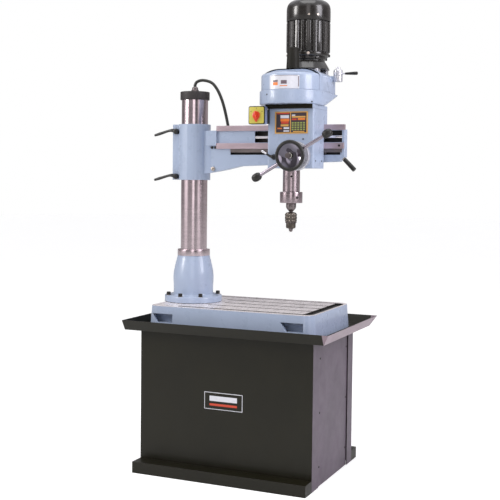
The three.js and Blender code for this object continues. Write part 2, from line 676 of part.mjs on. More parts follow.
// ---- Quill and spindle ----
function quillRackCuts() {
  const pitchX = HUB.x - PITCH_RADIUS - SPINDLE.x;
  const half = PITCH / 2;
  const cuts = [];
  for (let i = -2; i <= 12; i += 1) {
    const z = HUB.z + i * PITCH;
    const shape = outline([
      [pitchX + ROOT, z - half + toothHalf(ROOT)],
      [pitchX + 6, z - half + toothHalf(6)],
      [pitchX + 6, z + half - toothHalf(6)],
      [pitchX + ROOT, z + half - toothHalf(ROOT)],
    ]);
    const cut = slab(shape, SPINDLE.y - QUILL.rackHalf, SPINDLE.y + QUILL.rackHalf);
    cuts.push(cut.translate([SPINDLE.x, 0, 0]));
  }
  return cuts;
}

function addQuill() {
  const { x, y } = SPINDLE;
  const bore = SPINDLE.radius + GAP;
  const tube = sleeve(bore, QUILL.radius, QUILL.bottom, QUILL.top, x, y, 28);
  place("quill", quillRackCuts().reduce((body, cut) => body.subtract(cut), tube), groundSteel());
  const collar = sleeve(bore, QUILL_COLLAR.radius, QUILL_COLLAR.bottom, QUILL.bottom - GAP, x, y, 28);
  place("quill_collar", collar, groundSteel());
}

function addSpindle() {
  const { x, y } = SPINDLE;
  const spindle = turned(
    [
      [0, NOSE.bottom], [NOSE.tip, NOSE.bottom], [NOSE.tip, NOSE.bottom + 3], [NOSE.radius, NOSE.taperTop],
      [NOSE.radius, SPINDLE.shoulder], [SPINDLE.radius, SPINDLE.shoulder], [SPINDLE.radius, QUILL.top],
      [SPINDLE.spline, QUILL.top + 4], [SPINDLE.spline, SPINDLE.top], [0, SPINDLE.top],
    ],
    x,
    y,
    20,
  );
  place("spindle", spindle, groundSteel());
  const chuckTop = NOSE.bottom - GAP;
  const bore = DRILL.radius + GAP;
  const chuck = turned(
    [
      [0, chuckTop], [CHUCK.radius, chuckTop], [CHUCK.radius, CHUCK.waist], [CHUCK.sleeve, CHUCK.waist - 1],
      [CHUCK.sleeve, CHUCK.bottom + 8], [bore + 3, CHUCK.bottom], [bore, CHUCK.bottom],
      [bore, DRILL.shankTop + GAP], [0, DRILL.shankTop + GAP],
    ].reverse(),
    x,
    y,
    20,
  );
  place("chuck_body", chuck, groundSteel());
  const drill = [
    [0, DRILL.point], [DRILL.radius, DRILL.point + 4], [DRILL.radius, DRILL.shankTop], [0, DRILL.shankTop],
  ];
  place("drill_bit", turned(drill, x, y, 16), groundSteel());
}

// ---- Feed levers and traverse handwheel ----
function addFeed() {
  const through = 6 + GAP;
  const middle = SPINDLE.y;
  const shaftRadius = PITCH_RADIUS + TIP + 1 - GAP;
  const front = FEED_HUB.front + 4;
  const shaft = joined(
    pin(FEED_HUB.bore, front, middle - 13, HUB.x, HUB.z),
    pin(shaftRadius, HEAD.front, middle - 24, HUB.x, HUB.z, 24),
    pin(10.5, HEAD.front, middle, HUB.x, HUB.z),
    pinion(middle - QUILL.rackHalf + 1, middle + QUILL.rackHalf - 1, 0, Math.PI),
  );
  const core = pin(through, front - 1, middle + 12, HUB.x, HUB.z, 16);
  place("feed_shaft", shaft.subtract(core), groundSteel());
  const dialBack = HEAD.front - GAP;
  const bore = FEED_HUB.bore + GAP;
  const hubProfile = [
    [bore, dialBack], [DIAL.radius, dialBack], [DIAL.radius, DIAL.front + 3], [DIAL.radius - 3, DIAL.front],
    [FEED_HUB.radius + 4, DIAL.front], [FEED_HUB.radius, DIAL.front - 5], [FEED_HUB.radius, FEED_HUB.front],
    [bore, FEED_HUB.front], [bore, dialBack],
  ];
  const hub = turnedY(hubProfile.reverse(), HUB.x, HUB.z);
  const { radius, root } = LEVER;
  const holes = leverDirections().map((side) => leverRod(radius + GAP, side, root, root + 12));
  place("feed_hub", holes.reduce((body, hole) => body.subtract(hole), hub), groundSteel());
}

function leverDirections() {
  return [0, Math.PI].map((turn) => [Math.cos(LEVER_ANGLE + turn), Math.sin(LEVER_ANGLE + turn)]);
}

function leverRod(radius, [x, z], from, to, segments = 12) {
  const at = (distance) => [HUB.x + x * distance, LEVER.y, HUB.z + z * distance];
  return rod(radius, at(from), at(to), segments);
}

// A knob turned about the lever's own line, with a rounded body and a short neck
function leverKnob([x, z]) {
  const half = LEVER.knobLength / 2;
  const profile = [[0, -half], [9, -half], [12, -half + 7], [LEVER.knobRadius, -4], [LEVER.knobRadius, 7]];
  profile.push([LEVER.knobRadius - 5, half - 3], [7, half], [0, half]);
  const points = profile.map(([radius, height]) => new THREE.Vector2(radius, height));
  const geometry = new THREE.LatheGeometry(points, 12);
  const turn = new THREE.Quaternion();
  turn.setFromUnitVectors(new THREE.Vector3(0, 1, 0), new THREE.Vector3(x, 0, z));
  geometry.applyQuaternion(turn);
  return solid(geometry.translate(HUB.x + x * LEVER.knob, LEVER.y, HUB.z + z * LEVER.knob));
}

function addLevers() {
  leverDirections().forEach((side, i) => {
    const end = LEVER.knob - LEVER.knobLength / 2 - GAP;
    place(`feed_lever_${i + 1}`, leverRod(LEVER.radius, side, LEVER.root + GAP, end), chrome());
    place(`feed_knob_${i + 1}`, leverKnob(side), blackPlastic());
  });
}

function addTraverse() {
  const wheelFront = HANDWHEEL.y - 12;
  const shaft = joined(
    pin(6, wheelFront - 2, HEAD.back + 2, HUB.x, HUB.z, 16),
    pin(12, wheelFront - 11, wheelFront - GAP, HUB.x, HUB.z, 6),
    pinion(HEAD.back + 1, ARM.webFront - GAP, 0, Math.PI / 2 + Math.PI / TOOTH.count),
  );
  place("traverse_shaft", shaft, groundSteel());
  const { y, radius, rim, hub, dish } = HANDWHEEL;
  const rimPoints = Array.from({ length: 8 }, (_, i) => {
    const angle = -Math.PI * 0.85 + (i * Math.PI * 1.7) / 7;
    return [radius + rim * Math.cos(angle), y + rim * Math.sin(angle)];
  });
  const bore = 6 + GAP;
  const profile = [
    ...rimPoints, [hub + 4, y + dish], [hub, y + 10], [bore, y + 10], [bore, wheelFront],
    [hub - 2, wheelFront], [hub, y - 2], [hub + 4, y], rimPoints[0],
  ];
  place("handwheel", turnedY(profile, HUB.x, HUB.z), blackPlastic());
}

// ---- Belt drive ----
function addGuards() {
  const hubHole = post(PULLEY.hub + GAP, HEAD.top - 1, LOWER_GUARD.top, SPINDLE.x, SPINDLE.y);
  const { left, right, front, top } = GUARD_PLATE;
  const plate = box(left, right, front, HOOK.back, HEAD.top + GAP, top);
  place("guard_base_plate", plate.subtract(hubHole), blackCoat());

  const lower = LOWER_GUARD;
  const inner = [lower.radius - lower.wall, lower.motorRadius - lower.wall];
  const outside = hull(
    ringOf(guardOutline(lower.radius, lower.motorRadius), lower.top, 12),
    ringOf(circleOutline(lower.radius), lower.bottom, 20),
  );
  const inside = hull(
    ringOf(guardOutline(...inner), lower.top + 1, 12),
    ringOf(circleOutline(inner[0]), lower.bottom + lower.wall, 20),
  );
  place("lower_guard", outside.subtract(inside).subtract(hubHole), enamel());

  const upper = UPPER_GUARD;
  const shell = guardOutline(upper.radius, upper.motorRadius);
  const hollow = guardOutline(upper.radius - upper.wall, upper.motorRadius - upper.wall);
  const ahead = box(0, 500, -300, upper.seam, 1500, 1800);
  const cover = prism(shell, upper.bottom, COVER_TOP, 16).subtract(
    prism(hollow, upper.bottom - 1, COVER_TOP - upper.wall, 16),
  );
  place("front_guard_cover", cover.intersect(ahead), enamel());

  const boss = post(TENSION.radius, TENSION.low, TENSION.split, TENSION.x, TENSION.y, 20);
  const cuts = [
    prism(hollow, upper.bottom - 1, COVER_TOP - 1, 16),
    box(0, 500, -300, upper.seam + GAP, 1500, 1800),
    post(SPINDLE.spline + 3, COVER_TOP - 5, HOUSING_TOP + 1, SPINDLE.x, SPINDLE.y, 20),
    post(MOUNT.bore, COVER_TOP - 5, HOUSING_TOP + 1, MOTOR.x, MOTOR.y, 20),
    post(6 + GAP, TENSION.low + 8, TENSION.split + 1, TENSION.x, TENSION.y, 12),
  ];
  const rib = box(TENSION.x - 40, TENSION.x, TENSION.y - 12, TENSION.y + 12, TENSION.low + 3, TENSION.split);
  const housing = joined(prism(shell, upper.bottom, HOUSING_TOP, 16), boss, rib);
  place("drive_housing", cuts.reduce((body, cut) => body.subtract(cut), housing), enamel());
}

function circleOutline(radius) {
  const shape = new THREE.Shape();
  shape.absarc(SPINDLE.x, SPINDLE.y, radius, 0, Math.PI * 2);
  return shape;
}

// A stepped V-belt pulley; radii run from the bottom step to the top one
function pulleyProfile(radii) {
  return radii.flatMap((radius, i) => {
    const low = PULLEY.bottom + i * PULLEY.step;
    return [
      [radius, low],
      [radius - PULLEY.groove, low + PULLEY.step / 2],
      [radius, low + PULLEY.step],
    ];
  });
}

function addDrive() {
  const top = PULLEY.bottom + PULLEY.step * PULLEY.radii.length;
  const bore = SPINDLE.spline + GAP;
  const spindlePulley = [
    [bore, PULLEY.hubBottom], [PULLEY.hub, PULLEY.hubBottom], [PULLEY.hub, PULLEY.bottom],
    ...pulleyProfile(PULLEY.radii), [bore, top], [bore, PULLEY.hubBottom],
  ];
  place("spindle_pulley", turned(spindlePulley, SPINDLE.x, SPINDLE.y, 24), groundSteel());
  const small = [...PULLEY.radii].reverse();
  const motorPulley = [
    [0, PULLEY.bottom], ...pulleyProfile(small), [14, top], [14, MOUNT.top - 8], [0, MOUNT.top - 8],
  ];
  place("motor_pulley", turned(motorPulley, MOTOR.x, MOTOR.y, 24), groundSteel());
  const reach = [PULLEY.radii[0], small[0]].map((radius) => radius + GAP);
  const low = PULLEY.bottom + (PULLEY.step - BELT.height) / 2;
  const belt = prism(guardOutline(reach[0] + BELT.thick, reach[1] + BELT.thick), low, low + BELT.height, 16);
  const inside = prism(guardOutline(...reach), low - 1, low + BELT.height + 1, 16);
  place("drive_belt", belt.subtract(inside), blackPlastic());
}

function addSpindleCap() {
  const low = HOUSING_TOP + GAP;
  const top = low + SPINDLE_CAP.height;
  const { wall } = SPINDLE_CAP;
  const profile = [
    [SPINDLE_CAP.low - wall, low], [SPINDLE_CAP.low, low], [SPINDLE_CAP.high, top - 3],
    [SPINDLE_CAP.high - 3, top], [0, top], [0, top - wall], [SPINDLE_CAP.high - wall, top - wall],
    [SPINDLE_CAP.low - wall, low],
  ];
  place("spindle_cap", turned(profile, SPINDLE.x, SPINDLE.y, 24), blackPlastic());
}

function addTensionLever() {
  const { x, y, radius, split, high, reach, z } = TENSION;
  const body = joined(
    post(radius, split + GAP, high, x, y, 20),
    post(8, high - 1, high + 11, x, y, 6),
    post(6, TENSION.low + 10, split + 1, x, y, 12),
    rod(5, [x, y, z], [x + reach - 4, y, z]),
    rod(7, [x + radius + 6, y, z], [x + reach, y, z]),
  );
  place("tension_lever", body, blackPlastic());
}

// ---- Motor ----
function addMotor() {
  const { x, y, radius } = MOTOR;
  const low = HOUSING_TOP + GAP;
  const coneLow = low + PADS.height;
  const cone = turned(
    [
      [MOUNT.bore, coneLow], [MOUNT.wide, coneLow], [MOUNT.wide, coneLow + 2],
      [MOUNT.narrow, MOUNT.shoulder - 3],
      [MOUNT.narrow + 6, MOUNT.shoulder], [MOUNT.narrow + 6, MOUNT.top], [MOUNT.bore, MOUNT.top],
      [MOUNT.bore, coneLow],
    ],
    x,
    y,
  );
  const pads = [[1, 1], [1, -1], [-1, 1], [-1, -1]].map(([right, back]) => {
    const padX = x + right * PADS.offset;
    const padY = y + back * PADS.offset;
    const half = PADS.half;
    return box(padX - half, padX + half, padY - half, padY + half, low, coneLow + 1);
  });
  place("motor_mount", joined(cone, ...pads), blackCoat());

  const bellLow = MOUNT.top + GAP;
  const core = turned(
    [
      [0, bellLow], [radius - 8, bellLow], [radius - 4, bellLow + 4], [radius - 4, MOTOR_FINS.low],
      [radius - MOTOR_FINS.depth, MOTOR_FINS.low], [radius - MOTOR_FINS.depth, MOTOR_FINS.high],
      [radius - 4, MOTOR_FINS.high], [radius - 4, COWL.bottom - GAP], [0, COWL.bottom - GAP],
    ],
    x,
    y,
  );
  place("motor_body", core.add(motorFins()), blackCoat());
  const wall = COWL.wall;
  const cowl = turned([...cowlProfile(0), ...cowlProfile(wall).reverse(), cowlProfile(0)[0]], x, y);
  place("motor_cowl", cowl, blackCoat());
}

// A ring of upright cooling fins, standing out of the motor's body
function motorFins() {
  const inner = MOTOR.radius - MOTOR_FINS.depth;
  const points = [];
  for (let i = 0; i < MOTOR_FINS.count; i += 1) {
    const middle = (i * 2 * Math.PI) / MOTOR_FINS.count;
    const half = Math.PI / MOTOR_FINS.count;
    [[inner, -0.5], [MOTOR.radius, -0.32], [MOTOR.radius, 0.32], [inner, 0.5]].forEach(([r, side]) => {
      const angle = middle + side * half;
      points.push([MOTOR.x + r * Math.cos(angle), MOTOR.y + r * Math.sin(angle)]);
    });
  }
  return prism(outline(points), MOTOR_FINS.low, MOTOR_FINS.high);
}

// The fan cowl's wall: upright, then an elliptical dome up to the axis
function cowlProfile(inset) {
  const dome = Array.from({ length: 6 }, (_, i) => {
    const angle = (i * Math.PI) / 10;
    const width = (COWL.radius - inset) * Math.cos(angle);
    const rise = (COWL.top - COWL.shoulder - inset) * Math.sin(angle);
    return [i === 5 ? 0 : width, COWL.shoulder + rise];
  });
  return [[COWL.radius - inset, COWL.bottom], ...dome];
}

addStand();
addTray();
addBase();
addColumnFoot();
addFootBolts();
addColumn();
addConduit();
addArm();
addArmFittings();
addClampLevers();
addTraverseRack();
addHead();
addHeadLock();
addSwitch();
addQuill();
addSpindle();
addFeed();
addLevers();
addTraverse();
addGuards();
addDrive();
addSpindleCap();
addTensionLever();
addMotor();

export default drillPress;
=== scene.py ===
"""A radial arm drill press: the looks of each part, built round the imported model.

Sizes are in metres, in the model's own frame: +X to the machine's right, +Y to its back, +Z up.
"""
import math
from math import cos, pi, radians, sin

import bmesh
import bpy
from mathutils import Matrix, Vector


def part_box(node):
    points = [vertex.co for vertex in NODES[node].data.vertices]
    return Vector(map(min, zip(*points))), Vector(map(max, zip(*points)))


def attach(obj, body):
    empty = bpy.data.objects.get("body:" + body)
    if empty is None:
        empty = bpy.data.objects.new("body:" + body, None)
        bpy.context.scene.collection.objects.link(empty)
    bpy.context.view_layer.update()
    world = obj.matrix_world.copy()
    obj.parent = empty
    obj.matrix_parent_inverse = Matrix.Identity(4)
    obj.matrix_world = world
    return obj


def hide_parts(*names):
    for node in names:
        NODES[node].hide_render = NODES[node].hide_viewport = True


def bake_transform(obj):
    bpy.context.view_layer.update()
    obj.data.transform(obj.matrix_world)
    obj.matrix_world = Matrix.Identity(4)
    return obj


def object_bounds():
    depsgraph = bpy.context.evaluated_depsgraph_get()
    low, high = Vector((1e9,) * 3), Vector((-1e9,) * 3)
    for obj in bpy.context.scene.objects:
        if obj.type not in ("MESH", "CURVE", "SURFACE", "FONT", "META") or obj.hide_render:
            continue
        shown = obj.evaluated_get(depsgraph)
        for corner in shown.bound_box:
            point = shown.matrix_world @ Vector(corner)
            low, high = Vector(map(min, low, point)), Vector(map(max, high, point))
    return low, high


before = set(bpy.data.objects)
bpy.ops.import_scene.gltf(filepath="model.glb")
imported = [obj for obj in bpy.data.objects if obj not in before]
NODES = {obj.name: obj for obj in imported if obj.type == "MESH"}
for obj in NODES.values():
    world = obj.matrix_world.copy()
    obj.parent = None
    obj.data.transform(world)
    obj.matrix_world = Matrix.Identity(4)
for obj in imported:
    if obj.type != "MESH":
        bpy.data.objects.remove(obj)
cad_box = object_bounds()
LOW = {name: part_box(name)[0] for name in NODES}
HIGH = {name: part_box(name)[1] for name in NODES}


def middle(node):
    return (LOW[node] + HIGH[node]) / 2


MM = 0.001
UP = Vector((0, 0, 1))
FRONT = Vector((0, -1, 0))
RIGHT = Vector((1, 0, 0))
SPINDLE = middle("spindle").to_2d()
MOTOR = middle("motor_cowl").to_2d()
FEED_HUB = Vector((0.267, 0, 1.330))
TENSION = Vector((0.357, 0.0385, 0))


# ---- Camera and light ----
CAMERA = {
    "place": (1.7012, -3.8954, 1.2324),
    "azimuth": 23.82,
    "tilt": -2.5,
    "roll": 0.62,
    "lens": 71.4,
    "rise": -0.0533,
}
TO_CAMERA = Vector((0.404, -0.915))
TO_RIGHT = Vector((0.915, 0.404))
# brightness all round the machine: (degrees to the right of the camera, grey level)
ROOM = [
    (-180, 0.50), (-130, 0.42), (-112, 0.20), (-98, 0.45), (-84, 1.8), (-62, 2.2), (-54, 0.30),
    (-30, 0.38), (-16, 0.30), (-11, 3.0), (1, 3.0), (6, 0.12), (18, 0.10), (30, 0.50), (38, 2.0),
    (54, 2.0), (62, 0.25), (80, 0.12), (98, 0.45), (130, 0.60), (180, 0.50),
]
ROOM_TINT = (1.0, 0.95, 0.97)
ROOM_LEVEL = 0.62
CEILING = (0.95, 0.95, 1.0)
AMBIENT = (0.56, 0.56, 0.57)


def add_camera():
    data = bpy.data.cameras.new("camera")
    camera = bpy.data.objects.new("camera", data)
    bpy.context.scene.collection.objects.link(camera)
    turn = Matrix.Rotation(radians(CAMERA["azimuth"]), 4, "Z")
    pitch = Matrix.Rotation(radians(90 + CAMERA["tilt"]), 4, "X")
    roll = Matrix.Rotation(radians(CAMERA["roll"]), 4, "Z")
    camera.matrix_world = Matrix.Translation(CAMERA["place"]) @ turn @ pitch @ roll
    data.sensor_width = 36
    data.lens = CAMERA["lens"]
    data.shift_y = CAMERA["rise"]
    data.clip_end = 60
    bpy.context.scene.camera = camera


def add_world():
    world = bpy.data.worlds.new("studio")
    bpy.context.scene.world = world
    world.use_nodes = True
    tree = world.node_tree
    tree.nodes.clear()
    coords = tree.nodes.new("ShaderNodeTexCoord")

    def along(direction):
        node = tree.nodes.new("ShaderNodeVectorMath")
        node.operation = "DOT_PRODUCT"
        tree.links.new(coords.outputs["Generated"], node.inputs[0])
        node.inputs[1].default_value = (direction.x, direction.y, 0)
        return node.outputs["Value"]

    angle = math_node(tree, "ARCTAN2", along(TO_RIGHT), along(TO_CAMERA))
    turn = math_node(tree, "MULTIPLY_ADD", angle, 0.5 / pi, 0.5)
    ramp = tree.nodes.new("ShaderNodeValToRGB")
    tree.links.new(turn, ramp.inputs["Fac"])
    stops = ramp.color_ramp.elements
    for i, (degrees, grey) in enumerate(ROOM):
        place = degrees / 360 + 0.5
        stop = stops[i] if i < 2 else stops.new(place)
        stop.position = place
        stop.color = [grey * tint * ROOM_LEVEL for tint in ROOM_TINT] + [1]
    rise = tree.nodes.new("ShaderNodeSeparateXYZ")
    tree.links.new(coords.outputs["Generated"], rise.inputs[0])
    overhead = remap(tree, rise.outputs["Z"], 0.36, 0.62, 0, 1)
    room = mix_colors(tree, overhead, ramp.outputs["Color"], (*CEILING, 1))
    paths = tree.nodes.new("ShaderNodeLightPath")
    ambient = mix_colors(tree, paths.outputs["Is Camera Ray"], (*AMBIENT, 1), (1, 1, 1, 1))
    seen = mix_colors(tree, paths.outputs["Is Glossy Ray"], ambient, room)
    background = tree.nodes.new("ShaderNodeBackground")
    tree.links.new(seen, background.inputs["Color"])
    output = tree.nodes.new("ShaderNodeOutputWorld")
    tree.links.new(background.outputs[0], output.inputs["Surface"])


def add_softbox(name, place, aim, size, power, color):
    data = bpy.data.lights.new(name, "AREA")
    data.shape = "RECTANGLE"
    data.size, data.size_y = size
    data.energy = power
    data.color = color
    light = bpy.data.objects.new(name, data)
    bpy.context.scene.collection.objects.link(light)
    light.location = place
    light.rotation_euler = (Vector(aim) - Vector(place)).to_track_quat("-Z", "Y").to_euler()


def add_lights():
    aim = (0, 0, 1.1)
    add_softbox("right_softbox", (3.6, -0.6, 2.6), aim, (1.6, 2.2), 82, (0.95, 0.93, 1.0))
    add_softbox("left_softbox", (-2.8, -2.4, 2.6), (0, 0, 1.5), (1.0, 1.6), 62, (1.0, 0.98, 0.96))
    add_softbox("top_softbox", (0.4, -0.8, 4.4), aim, (2.4, 2.4), 45, (1.0, 1.0, 1.0))
    bpy.context.scene.view_settings.view_transform = "Standard"


def add_floor():
    bm = bmesh.new()
    bmesh.ops.create_circle(bm, cap_ends=True, segments=96, radius=30)
    bmesh.ops.translate(bm, vec=(0, 0, cad_box[0].z - 0.5 * MM), verts=bm.verts)
    glow = FLOOR.node_tree.nodes["Principled BSDF"]
    glow.inputs["Emission Color"].default_value = (1, 1, 1, 1)
    paths = FLOOR.node_tree.nodes.new("ShaderNodeLightPath")
    seen = math_node(FLOOR.node_tree, "MULTIPLY", paths.outputs["Is Camera Ray"], 0.45)
    FLOOR.node_tree.links.new(seen, glow.inputs["Emission Strength"])
    floor = mesh_object("floor", bm, FLOOR)


# ---- Node helpers ----
def math_node(tree, operation, *values):
    node = tree.nodes.new("ShaderNodeMath")
    node.operation = operation
    for socket, value in zip(node.inputs, values):
        if isinstance(value, (int, float)):
            socket.default_value = value
        else:
            tree.links.new(value, socket)
    return node.outputs[0]


def mix_colors(tree, factor, first, second):
    node = tree.nodes.new("ShaderNodeMix")
    node.data_type = "RGBA"
    for socket, value in (("Factor", factor), ("A", first), ("B", second)):
        if isinstance(value, bpy.types.NodeSocket):
            tree.links.new(value, node.inputs[socket])
        else:
            node.inputs[socket].default_value = value
    return node.outputs["Result"]


def noise(tree, scale, detail=3.0, stretch=(1, 1, 1), roughness=0.5):
    coords = tree.nodes.new("ShaderNodeTexCoord")
    mapping = tree.nodes.new("ShaderNodeMapping")
    mapping.inputs["Scale"].default_value = stretch
    tree.links.new(coords.outputs["Object"], mapping.inputs["Vector"])
    node = tree.nodes.new("ShaderNodeTexNoise")
    node.inputs["Scale"].default_value = scale
    node.inputs["Detail"].default_value = detail
    node.inputs["Roughness"].default_value = roughness
    tree.links.new(mapping.outputs["Vector"], node.inputs["Vector"])
    return node.outputs["Fac"]


def remap(tree, value, low, high, to_low, to_high):
    node = tree.nodes.new("ShaderNodeMapRange")
    tree.links.new(value, node.inputs["Value"])
    for name, number in (("From Min", low), ("From Max", high), ("To Min", to_low), ("To Max", to_high)):
        node.inputs[name].default_value = number
    return node.outputs["Result"]


def linear(*rgb):
    """The linear colour of an sRGB one whose channels run to 255."""
    channels = [c / 255 for c in rgb]
    return [c / 12.92 if c < 0.04045 else ((c + 0.055) / 1.055) ** 2.4 for c in channels] + [1]


def shaded(color, factor):
    return [channel * factor for channel in color[:3]] + [1]


def edge_mask(tree, radius):
    """One along convex and concave edges, falling to nought a radius away from them."""
    bevel = tree.nodes.new("ShaderNodeBevel")
    bevel.samples = 4
    bevel.inputs["Radius"].default_value = radius
    geometry = tree.nodes.new("ShaderNodeNewGeometry")
    dot = tree.nodes.new("ShaderNodeVectorMath")
    dot.operation = "DOT_PRODUCT"
    tree.links.new(bevel.outputs["Normal"], dot.inputs[0])
    tree.links.new(geometry.outputs["Normal"], dot.inputs[1])
    return remap(tree, dot.outputs["Value"], 0.98, 0.80, 0, 1)


def coat(
    name, color, roughness, metallic=0.0, rounding=1.2 * MM, mottle=0.08, mottle_scale=9, grain=500,
    depth=0.04 * MM, stretch=(1, 1, 1), clear=0.0, rubbed_and_lit_edge=None, rubbed_and_lit_radius=1.0 * MM, rubbed_and_lit_amount=0.5,
    spread=0.06, specular=0.5,
):
    """A finish with cloudy colour, uneven gloss, a fine grain and rounded edges, whose edges are lightened:
    rubbed wear on some finishes, a painted highlight on others.
    """
    material = bpy.data.materials.new(name)
    material.use_nodes = True
    tree = material.node_tree
    shader = tree.nodes["Principled BSDF"]
    shader.inputs["Metallic"].default_value = metallic
    shader.inputs["Coat Weight"].default_value = clear
    shader.inputs["Coat Roughness"].default_value = 0.08
    shader.inputs["Specular IOR Level"].default_value = specular
    clouds = remap(tree, noise(tree, mottle_scale, 4, stretch), 0.35, 0.65, 0, 1)
    base = mix_colors(tree, clouds, shaded(color, 1 - mottle), shaded(color, 1 + mottle))
    # Edge lightening: rubbed wear, and on some finishes a painted highlight along rounded edges.
    if rubbed_and_lit_edge:
        rubbed_and_lit = math_node(tree, "MULTIPLY", edge_mask(tree, rubbed_and_lit_radius), rubbed_and_lit_amount)
        patchy = math_node(tree, "MULTIPLY", rubbed_and_lit, remap(tree, noise(tree, 55, 3), 0.40, 0.62, 0.15, 1))
        base = mix_colors(tree, patchy, base, rubbed_and_lit_edge)
    tree.links.new(base, shader.inputs["Base Color"])
    smears = noise(tree, mottle_scale * 3.3, 5, stretch, 0.6)
    gloss = remap(tree, smears, 0.3, 0.7, max(0.02, roughness - spread), roughness + spread)
    tree.links.new(gloss, shader.inputs["Roughness"])
    bump = tree.nodes.new("ShaderNodeBump")
    bump.inputs["Strength"].default_value = 1
    bump.inputs["Distance"].default_value = depth
    tree.links.new(noise(tree, grain, 2, stretch), bump.inputs["Height"])
    if rounding:
        bevel = tree.nodes.new("ShaderNodeBevel")
        bevel.samples = 6
        bevel.inputs["Radius"].default_value = rounding
        tree.links.new(bevel.outputs["Normal"], bump.inputs["Normal"])
    tree.links.new(bump.outputs["Normal"], shader.inputs["Normal"])
    return material


def inside(tree, low, high):
    """One inside a box in the model's frame, and nought outside it."""
    coords = tree.nodes.new("ShaderNodeTexCoord")
    split = tree.nodes.new("ShaderNodeSeparateXYZ")
    tree.links.new(coords.outputs["Object"], split.inputs[0])
    result = None
    for axis in range(3):
        for operation, limit in (("GREATER_THAN", low[axis]), ("LESS_THAN", high[axis])):
            test = math_node(tree, operation, split.outputs[axis], limit)
            result = test if result is None else math_node(tree, "MULTIPLY", result, test)
    return result


def layered(name, outer, regions):
    """A copy of the finish outer, with other finishes inside boxes: regions lists (finish, boxes)."""
    material = bpy.data.materials.new(name)
    material.use_nodes = True
    tree = material.node_tree
    output = tree.nodes["Material Output"]
    tree.nodes.remove(tree.nodes["Principled BSDF"])
    surface = grafted(tree, outer)
    for finish, boxes in regions:
        mask = inside(tree, *boxes[0])
        for low, high in boxes[1:]:
            mask = math_node(tree, "MAXIMUM", mask, inside(tree, low, high))
        mix = tree.nodes.new("ShaderNodeMixShader")
        tree.links.new(mask, mix.inputs["Fac"])
        tree.links.new(surface, mix.inputs[1])
        tree.links.new(grafted(tree, finish), mix.inputs[2])
        surface = mix.outputs[0]
    tree.links.new(surface, output.inputs["Surface"])
    return material


def grafted(tree, finish):
    """Copies a finish's nodes into tree, and gives the copy's shader."""
    copies = {}
    for node in finish.node_tree.nodes:
        if node.bl_idname == "ShaderNodeOutputMaterial":
            continue
        copy = tree.nodes.new(node.bl_idname)
        for prop in ("operation", "data_type", "samples"):
            if hasattr(node, prop):
                setattr(copy, prop, getattr(node, prop))
        for theirs, ours in zip(node.inputs, copy.inputs):
            if hasattr(theirs, "default_value"):
                ours.default_value = theirs.default_value
        copies[node.name] = copy
    for link in finish.node_tree.links:
        if link.to_node.name in copies:
            start = list(link.from_node.outputs).index(link.from_socket)
            end = list(link.to_node.inputs).index(link.to_socket)
            outputs, inputs = copies[link.from_node.name].outputs, copies[link.to_node.name].inputs
            tree.links.new(outputs[start], inputs[end])
    return copies["Principled BSDF"].outputs[0]


# ---- Finishes ----
ENAMEL_COLOR = linear(168, 181, 205)
FLOOR = coat("pale_floor", linear(248, 248, 247), 0.6, rounding=0, mottle=0.01, mottle_scale=0.6, grain=30)
# The enamel's edges are lightened to 1.35 times its colour: a painted highlight along its rounded edges.
ENAMEL = coat(
    "light_blue_enamel", ENAMEL_COLOR, 0.30, rounding=2.5 * MM, mottle=0.035, mottle_scale=7, grain=260,
    depth=0.10 * MM, clear=0.35, rubbed_and_lit_edge=shaded(ENAMEL_COLOR, 1.35), rubbed_and_lit_radius=1.6 * MM, rubbed_and_lit_amount=0.55,
)
POWDERED = {"rounding": 1.4 * MM, "mottle": 0.12, "mottle_scale": 5, "grain": 900, "depth": 0.05 * MM}
POWDER = coat(
    "black_powder_coat", linear(24, 22, 9), 0.38, **POWDERED, rubbed_and_lit_edge=linear(120, 114, 118), specular=0.34,
)
# A lighter plum copy of the black powder coat for the side faces: a painted sheen of light falling on the
# sides.
SIDE_SHEEN_POWDER = coat("powder_coat_painted_side_sheen", linear(86, 74, 87), 0.38, **POWDERED, specular=0.4)
# A pale copy of the powder coat for the tray's right flange: a painted sheen of light from the right.
FLANGE_SHEEN_POWDER = coat("powder_coat_painted_flange_sheen", linear(142, 124, 134), 0.36, **POWDERED)
# Its pink tint is a painted reflection of the pinkish room round the machine.
GROUND = coat(
    "ground_steel", linear(214, 198, 203), 0.20, metallic=1, rounding=0, mottle=0.05, mottle_scale=14,
    grain=420, depth=0.006 * MM, stretch=(1, 1, 6), spread=0.05,
)
WAY = coat(
    "ground_way", linear(193, 174, 182), 0.34, metallic=0.75, rounding=1.0 * MM, mottle=0.10,
    mottle_scale=16, grain=300, depth=0.02 * MM, stretch=(0.2, 1, 1), spread=0.08,
)
TABLE_TOP = coat(
    "ground_table", linear(230, 223, 224), 0.30, metallic=0.35, rounding=0, mottle=0.07, mottle_scale=22,
    grain=240, depth=0.012 * MM, stretch=(1, 0.25, 1), spread=0.09,
)
# A dark finish: painted shade in the base's slots, the arm's window and groove, a guard seam and small holes;
# and the dark joint under the column's foot.
DARK_JOINT_AND_SHADE = coat("dark_joint_and_painted_shade", linear(26, 24, 22), 0.5, rounding=0, mottle=0.25, mottle_scale=30)
